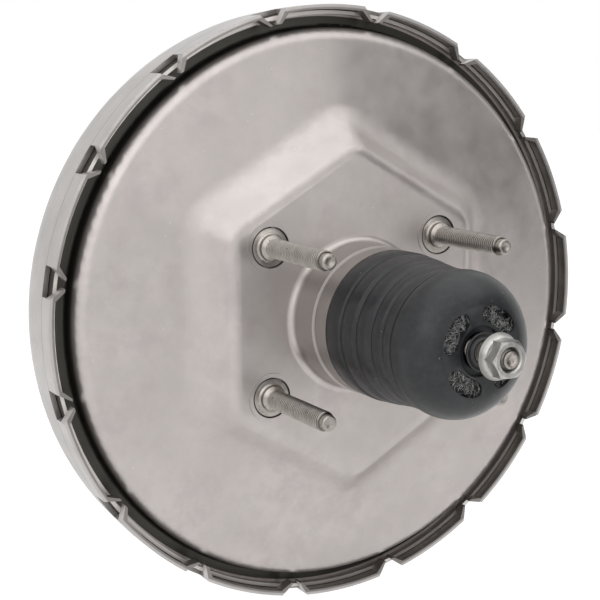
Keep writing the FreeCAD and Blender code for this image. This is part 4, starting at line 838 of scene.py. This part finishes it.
rod_end, rod_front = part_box("input_rod")[0].y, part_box("input_rod")[1].y
rod_radius = 0.0046
rod_neck = 0.0034
rod_neck_end = -0.026
ball_radius = rod_front + 0.018
ball_y = rod_front - ball_radius
washer_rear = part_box("spring_washer")[0].y
rod_thread_start = -0.082
ball_points = 10
ball_step = 14
ball_corners = []
for step in range(ball_points):
    angle = math.radians(90 - step * ball_step)
    ball_corners.append((ball_radius * math.cos(angle), ball_y + ball_radius * math.sin(angle)))
rod_core = turned("rod_core", ball_corners + [
    (rod_neck, ball_y - 0.0048),
    (rod_neck, rod_neck_end),
    (rod_radius, rod_neck_end - 0.0024),
    (rod_radius, washer_rear),
    (rod_radius + 0.0010, washer_rear),
    (rod_radius + 0.0010, washer_rear - 0.0020),
    (rod_radius, washer_rear - 0.0020),
    (rod_radius, rod_thread_start),
    (stud_root, rod_thread_start - 0.0010),
    (stud_root, rod_end + 0.0012),
    (stud_root - 0.0001, rod_end + 0.0002),
    (stud_root - 0.0005, rod_end),
    (0.0021, rod_end),
    (0.0016, rod_end + 0.0005),
    (0.0007, rod_end + 0.0009),
    (0, rod_end + 0.0010),
], sides=64, edge=0.00010)
rod_ridge = thread("rod_ridge", stud_radius, stud_pitch, rod_end + 0.0006, rod_thread_start)
rod_steel = stud_steel("rod_steel", 0, 0)
dress(join("pedal_rod", [rod_core, rod_ridge]), rod_steel, "machined_steel", "push_rod", "input_rod")

# Grommet and spring washer.
# The rubber grommet seals the rod in the boot's hub, with two raised rings round the bore.
# The pressed washer behind the collar carries the rod's return spring.

moulded_rubber, tree, shader = new_paint("moulded_rubber", Specular_IOR_Level=0.4)
seal_tone = mix_colours(tree, effect(tree, cloud, Size=200.0), (0.018, 0.018, 0.019), (0.040, 0.040, 0.042))
finish(tree, shader, seal_tone, patch=160.0, smooth=0.34, rough=0.5,
       relief=effect(tree, grain, Size=3200.0, Coarse=0.4), depth=0.00003)

grommet_rear, grommet_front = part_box("rod_grommet")[0].y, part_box("rod_grommet")[1].y
grommet_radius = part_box("rod_grommet")[1].x
grommet_bore = 0.0041
grommet_stem = 0.0049
grommet = turned("hub_grommet", [
    (grommet_bore, grommet_front),
    (grommet_stem, grommet_front),
    (grommet_stem, boot_rear),
    (grommet_radius, boot_rear),
    (grommet_radius, boot_rear - 0.0006),
    (grommet_radius - 0.0004, boot_rear - 0.0009),
    (grommet_radius - 0.0011, boot_rear - 0.0006),
    (grommet_radius - 0.0016, boot_rear - 0.0006),
    (grommet_radius - 0.0019, grommet_rear + 0.0004),
    (grommet_radius - 0.0023, grommet_rear),
    (grommet_bore + 0.0003, grommet_rear),
    (grommet_bore, grommet_rear + 0.0003),
    (grommet_bore, grommet_front),
], sides=72, edge=0.0001)
dress(grommet, moulded_rubber, "rubber", "push_rod", "rod_grommet")

pressed_steel, tree, shader = new_paint("pressed_steel", Metallic=1.0)
press_tone = mix_colours(tree, effect(tree, cloud, Size=70.0), (0.40, 0.39, 0.38), (0.56, 0.55, 0.54))
finish(tree, shader, press_tone, patch=120.0, smooth=0.3, rough=0.45,
       relief=effect(tree, grain, Size=2600.0, Coarse=0.4), depth=0.00004)
smooth_copy("spring_washer", "push_rod", "plate_steel", pressed_steel)

# Flange nut.
# Forged M8 flange nut, bright zinc: chamfered hexagon, a thin skirt, and a thread that is
# countersunk at its mouth. It waits on the rod to lock the clevis.

nut_low, nut_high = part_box("flange_nut")
nut_top, nut_seat = nut_low.y, nut_high.y
nut_flats = 0.013
nut_corner = nut_flats / 2 / math.cos(math.radians(30))
nut_height = nut_seat - nut_top
nut_bore = 0.0041
bore_mouth = 0.0052
skirt_rim = (0.0074, 0.0082)
skirt_shade = 0.75
bpy.ops.object.select_all(action="DESELECT")
bpy.ops.mesh.primitive_cylinder_add(vertices=6, radius=nut_corner, depth=nut_height,
                                    location=(0, (nut_top + nut_seat) / 2, 0), rotation=(math.pi / 2, 0, 0))
nut = bpy.context.object
nut.name = "zinc_flange_nut"
bpy.ops.object.transform_apply(location=True, rotation=True, scale=True)
bpy.ops.object.mode_set(mode="EDIT")
bpy.ops.mesh.select_all(action="SELECT")
bpy.ops.transform.rotate(value=math.radians(30), orient_axis="Y", center_override=(0, 0, 0))
bpy.ops.object.mode_set(mode="OBJECT")
skirt_radius = nut_high.x
crown = turned("crown", [
    (0, nut_top),
    (nut_flats / 2 - 0.0003, nut_top),
    (nut_corner + 0.0006, nut_top + 0.0011),
    (nut_corner + 0.0006, nut_seat),
    (0, nut_seat),
], sides=96, edge=0)
cut_away(nut, crown, "INTERSECT")
skirt = turned("skirt", [
    (0, nut_seat),
    (skirt_radius - 0.0003, nut_seat),
    (skirt_radius, nut_seat - 0.0003),
    (skirt_radius, nut_seat - 0.0008),
    (nut_flats / 2 + 0.0006, nut_seat - 0.0030),
    (nut_flats / 2 - 0.0010, nut_seat - 0.0034),
    (0, nut_seat - 0.0034),
], sides=96, edge=0)
cut_away(nut, skirt, "UNION")
bore = turned("bore", [
    (0, nut_top - 0.001),
    (bore_mouth, nut_top - 0.001),
    (bore_mouth - 0.0004, nut_top),
    (nut_bore, nut_top + 0.0008),
    (nut_bore, nut_seat - 0.0006),
    (bore_mouth - 0.0005, nut_seat),
    (bore_mouth, nut_seat + 0.001),
    (0, nut_seat + 0.001),
], sides=64, edge=0)
cut_away(nut, bore)
round_off(nut, 0.00012, angle=25)
bright_zinc, tree, shader = new_paint("bright_zinc", Metallic=1.0)
zinc_tone = mix_colours(tree, effect(tree, cloud, Size=300.0), (0.38, 0.372, 0.352), (0.52, 0.508, 0.486))
dull_specks = effect(tree, specks, Size=1500.0, Share=0.12, Dot=0.3)
zinc_spots = mix_colours(tree, dull_specks, zinc_tone, (0.28, 0.27, 0.25))
reach = ring_place(tree)[0]
# The skirt's rim is painted darker, as shade, so that it shows less of the lamps' reflection.
skirt_shade_mask = product(tree, ramp(tree, reach, *skirt_rim), skirt_shade)
skirt_shaded = mix_colours(tree, skirt_shade_mask, zinc_spots, (0.17, 0.165, 0.155))
finish(tree, shader, skirt_shaded, patch=260.0, smooth=0.27, rough=0.40,
       relief=effect(tree, grain, Size=1600.0, Coarse=0.4), depth=0.00006)
dress(nut, bright_zinc, "nut_steel", "push_rod", "flange_nut")

# Springs.
# Cold wound round wire, shot peened dark grey, between the two seats of each spring.
# All but the poppet's spring get a mesh of their own.

spring_wire, tree, shader = new_paint("spring_wire", Metallic=1.0)
wire_tone = mix_colours(tree, effect(tree, cloud, Size=160.0), (0.20, 0.20, 0.205), (0.33, 0.33, 0.335))
finish(tree, shader, wire_tone, patch=200.0, smooth=0.3, rough=0.45,
       relief=effect(tree, grain, Size=2600.0, Coarse=0.3), depth=0.00004)


def wound(name, node, coil_radius, wire, turns, place=(0, 0)):
    """A round wire swept round the Y axis between the CAD spring's two ends."""
    facets = 40
    low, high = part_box(node)
    start = low.y + wire / 2
    rise = (high.y - low.y - wire) / turns
    bpy.ops.object.select_all(action="DESELECT")
    bpy.ops.mesh.primitive_circle_add(vertices=12, radius=wire / 2, location=(coil_radius, 0, 0))
    piece = bpy.context.object
    piece.name = name
    bpy.ops.object.transform_apply(location=True, rotation=True, scale=True)
    sweep = piece.modifiers.new("coil", "SCREW")
    sweep.axis = "Y"
    sweep.angle = 2 * math.pi * turns
    sweep.screw_offset = rise * turns
    sweep.steps = round(facets * turns)
    sweep.render_steps = sweep.steps
    bpy.ops.object.modifier_apply(modifier=sweep.name)
    bpy.ops.object.mode_set(mode="EDIT")
    bpy.ops.mesh.select_all(action="DESELECT")
    bpy.ops.mesh.select_non_manifold()
    bpy.ops.mesh.fill()
    bpy.ops.mesh.select_all(action="SELECT")
    bpy.ops.mesh.normals_make_consistent(inside=False)
    bpy.ops.object.mode_set(mode="OBJECT")
    piece.location = (place[0], start, place[1])
    bpy.ops.object.transform_apply(location=True, rotation=True, scale=True)
    return round_off(piece, 0, angle=50)


check_low, check_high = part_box("check_valve_spring")
check_place = ((check_low.x + check_high.x) / 2, (check_low.z + check_high.z) / 2)
return_coil = wound("piston_return_coil", "return_spring", coil_radius=0.032, wire=0.0038, turns=5.25)
dress(return_coil, spring_wire, "spring_steel", "shell", "return_spring")
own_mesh(return_coil)
rod_coil = wound("rod_return_coil", "rod_return_spring", coil_radius=0.0108, wire=0.0014, turns=4.0)
dress(rod_coil, spring_wire, "spring_steel", "power_piston", "rod_return_spring")
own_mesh(rod_coil)
poppet_coil = wound("poppet_coil", "poppet_spring", coil_radius=0.0106, wire=0.0010, turns=3.0)
dress(poppet_coil, spring_wire, "spring_steel", "power_piston", "poppet_spring")
check_coil = wound("check_valve_coil", "check_valve_spring", coil_radius=0.0036, wire=0.0006, turns=5.0,
                   place=check_place)
dress(check_coil, spring_wire, "spring_steel", "shell", "check_valve_spring")
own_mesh(check_coil)

# Power piston hub.
# Moulded phenolic resin with a long tail through the neck; its seats are moulded in.
# It carries the diaphragm plate, the control valve and the reaction disc.

hub_resin, tree, shader = new_paint("hub_resin", Specular_IOR_Level=0.5)
resin_tone = mix_colours(tree, effect(tree, cloud, Size=120.0), (0.055, 0.036, 0.022), (0.085, 0.060, 0.040))
filler_specks = effect(tree, specks, Size=2200.0, Share=0.3, Dot=0.3)
resin_flecks = mix_colours(tree, filler_specks, resin_tone, (0.14, 0.11, 0.08))
finish(tree, shader, resin_flecks, patch=180.0, smooth=0.32, rough=0.5,
       relief=effect(tree, grain, Size=1500.0, Coarse=0.4), depth=0.00004, strength=0.4)
smooth_copy("valve_body", "power_piston", "hub_resin", hub_resin)

# Sheet steel inside the shells.
# Reinforcement plates, the diaphragm's backing plate and the small pressed cups and key,
# all in the same pressed steel as the spring washer.

for node, body in (
    ("front_reinforcement_plate", "shell"),
    ("rear_reinforcement_plate", "shell"),
    ("diaphragm_plate", "power_piston"),
    ("poppet_retainer", "power_piston"),
    ("output_rod_retainer", "power_piston"),
    ("stop_key", "plunger"),
):
    smooth_copy(node, body, "plate_steel", pressed_steel)

# Turned steel.
# The plunger, the output rod and its adjusting screw are ground bright, with fine rings
# left by the tool.

ground_steel, tree, shader = new_paint("ground_steel", Metallic=1.0)
ground_tone = mix_colours(tree, effect(tree, cloud, Size=200.0), (0.44, 0.43, 0.42), (0.58, 0.57, 0.56))
finish(tree, shader, ground_tone, patch=260.0, smooth=0.2, rough=0.32,
       relief=effect(tree, turning, Size=7000.0), depth=0.00002)
for node, body in (
    ("valve_plunger", "plunger"),
    ("output_rod", "power_piston"),
    ("output_rod_screw", "power_piston"),
):
    smooth_copy(node, body, "machined_steel", ground_steel)

# Rubber pieces.
# The neck's and the front's lip seals, the poppet, the reaction disc, the check valve's grommet
# and its disc are moulded from the same black rubber as the rod's grommet.

for node, body in (
    ("neck_seal", "shell"),
    ("front_seal", "shell"),
    ("control_valve_poppet", "power_piston"),
    ("reaction_disc", "power_piston"),
    ("check_valve_grommet", "shell"),
    ("check_valve_disc", "check_disc"),
):
    smooth_copy(node, body, "rubber", moulded_rubber)

# Diaphragm.
# Fabric backed rubber with a thick bead in the rim and a lobe that rolls off the plate.
# The bead and the lobe's outer side are split off and ride with the shell; the rest is tied to no body.

lobe_crest = 0.1128
rolling = smooth_copy("diaphragm", None, "rubber", moulded_rubber)
pick(rolling)
bpy.ops.object.mode_set(mode="EDIT")
bpy.ops.mesh.select_mode(type="FACE")
bpy.ops.mesh.select_all(action="DESELECT")
bpy.ops.object.mode_set(mode="OBJECT")
for face in rolling.data.polygons:
    face.select = math.hypot(face.center.x, face.center.z) > lobe_crest
bpy.ops.object.mode_set(mode="EDIT")
bpy.ops.mesh.separate(type="SELECTED")
bpy.ops.mesh.select_mode(type="VERT")
bpy.ops.object.mode_set(mode="OBJECT")
bead = next(piece for piece in bpy.context.selected_objects if piece != rolling)
bead.name = "diaphragm_bead"
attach(bead, "shell")
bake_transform(rolling)

# Nylon guides.
# The bushing that guides the tail and the rings that hold the seals are moulded nylon.

natural_nylon, tree, shader = new_paint("natural_nylon", Specular_IOR_Level=0.45, Subsurface_Weight=0.08)
nylon_tone = mix_colours(tree, effect(tree, cloud, Size=90.0), (0.58, 0.55, 0.46), (0.70, 0.67, 0.58))
finish(tree, shader, nylon_tone, patch=140.0, smooth=0.34, rough=0.48,
       relief=effect(tree, grain, Size=1800.0, Coarse=0.4), depth=0.00003, strength=0.4)
for node, body in (
    ("neck_bushing", "shell"),
    ("neck_seal_retainer", "shell"),
    ("front_seal_retainer", "shell"),
    ("diaphragm_lock_ring", "power_piston"),
):
    smooth_copy(node, body, "nylon", natural_nylon)

# Vacuum check valve.
# Black nylon body pushed into its grommet on the front shell, with a barbed hose nozzle that
# leaves sideways.

black_nylon, tree, shader = new_paint("black_nylon", Specular_IOR_Level=0.5)
black_tone = mix_colours(tree, effect(tree, cloud, Size=110.0), (0.016, 0.016, 0.017), (0.034, 0.034, 0.036))
finish(tree, shader, black_tone, patch=150.0, smooth=0.34, rough=0.5,
       relief=effect(tree, grain, Size=2000.0, Coarse=0.5), depth=0.00004)
smooth_copy("check_valve_body", "shell", "black_nylon", black_nylon)
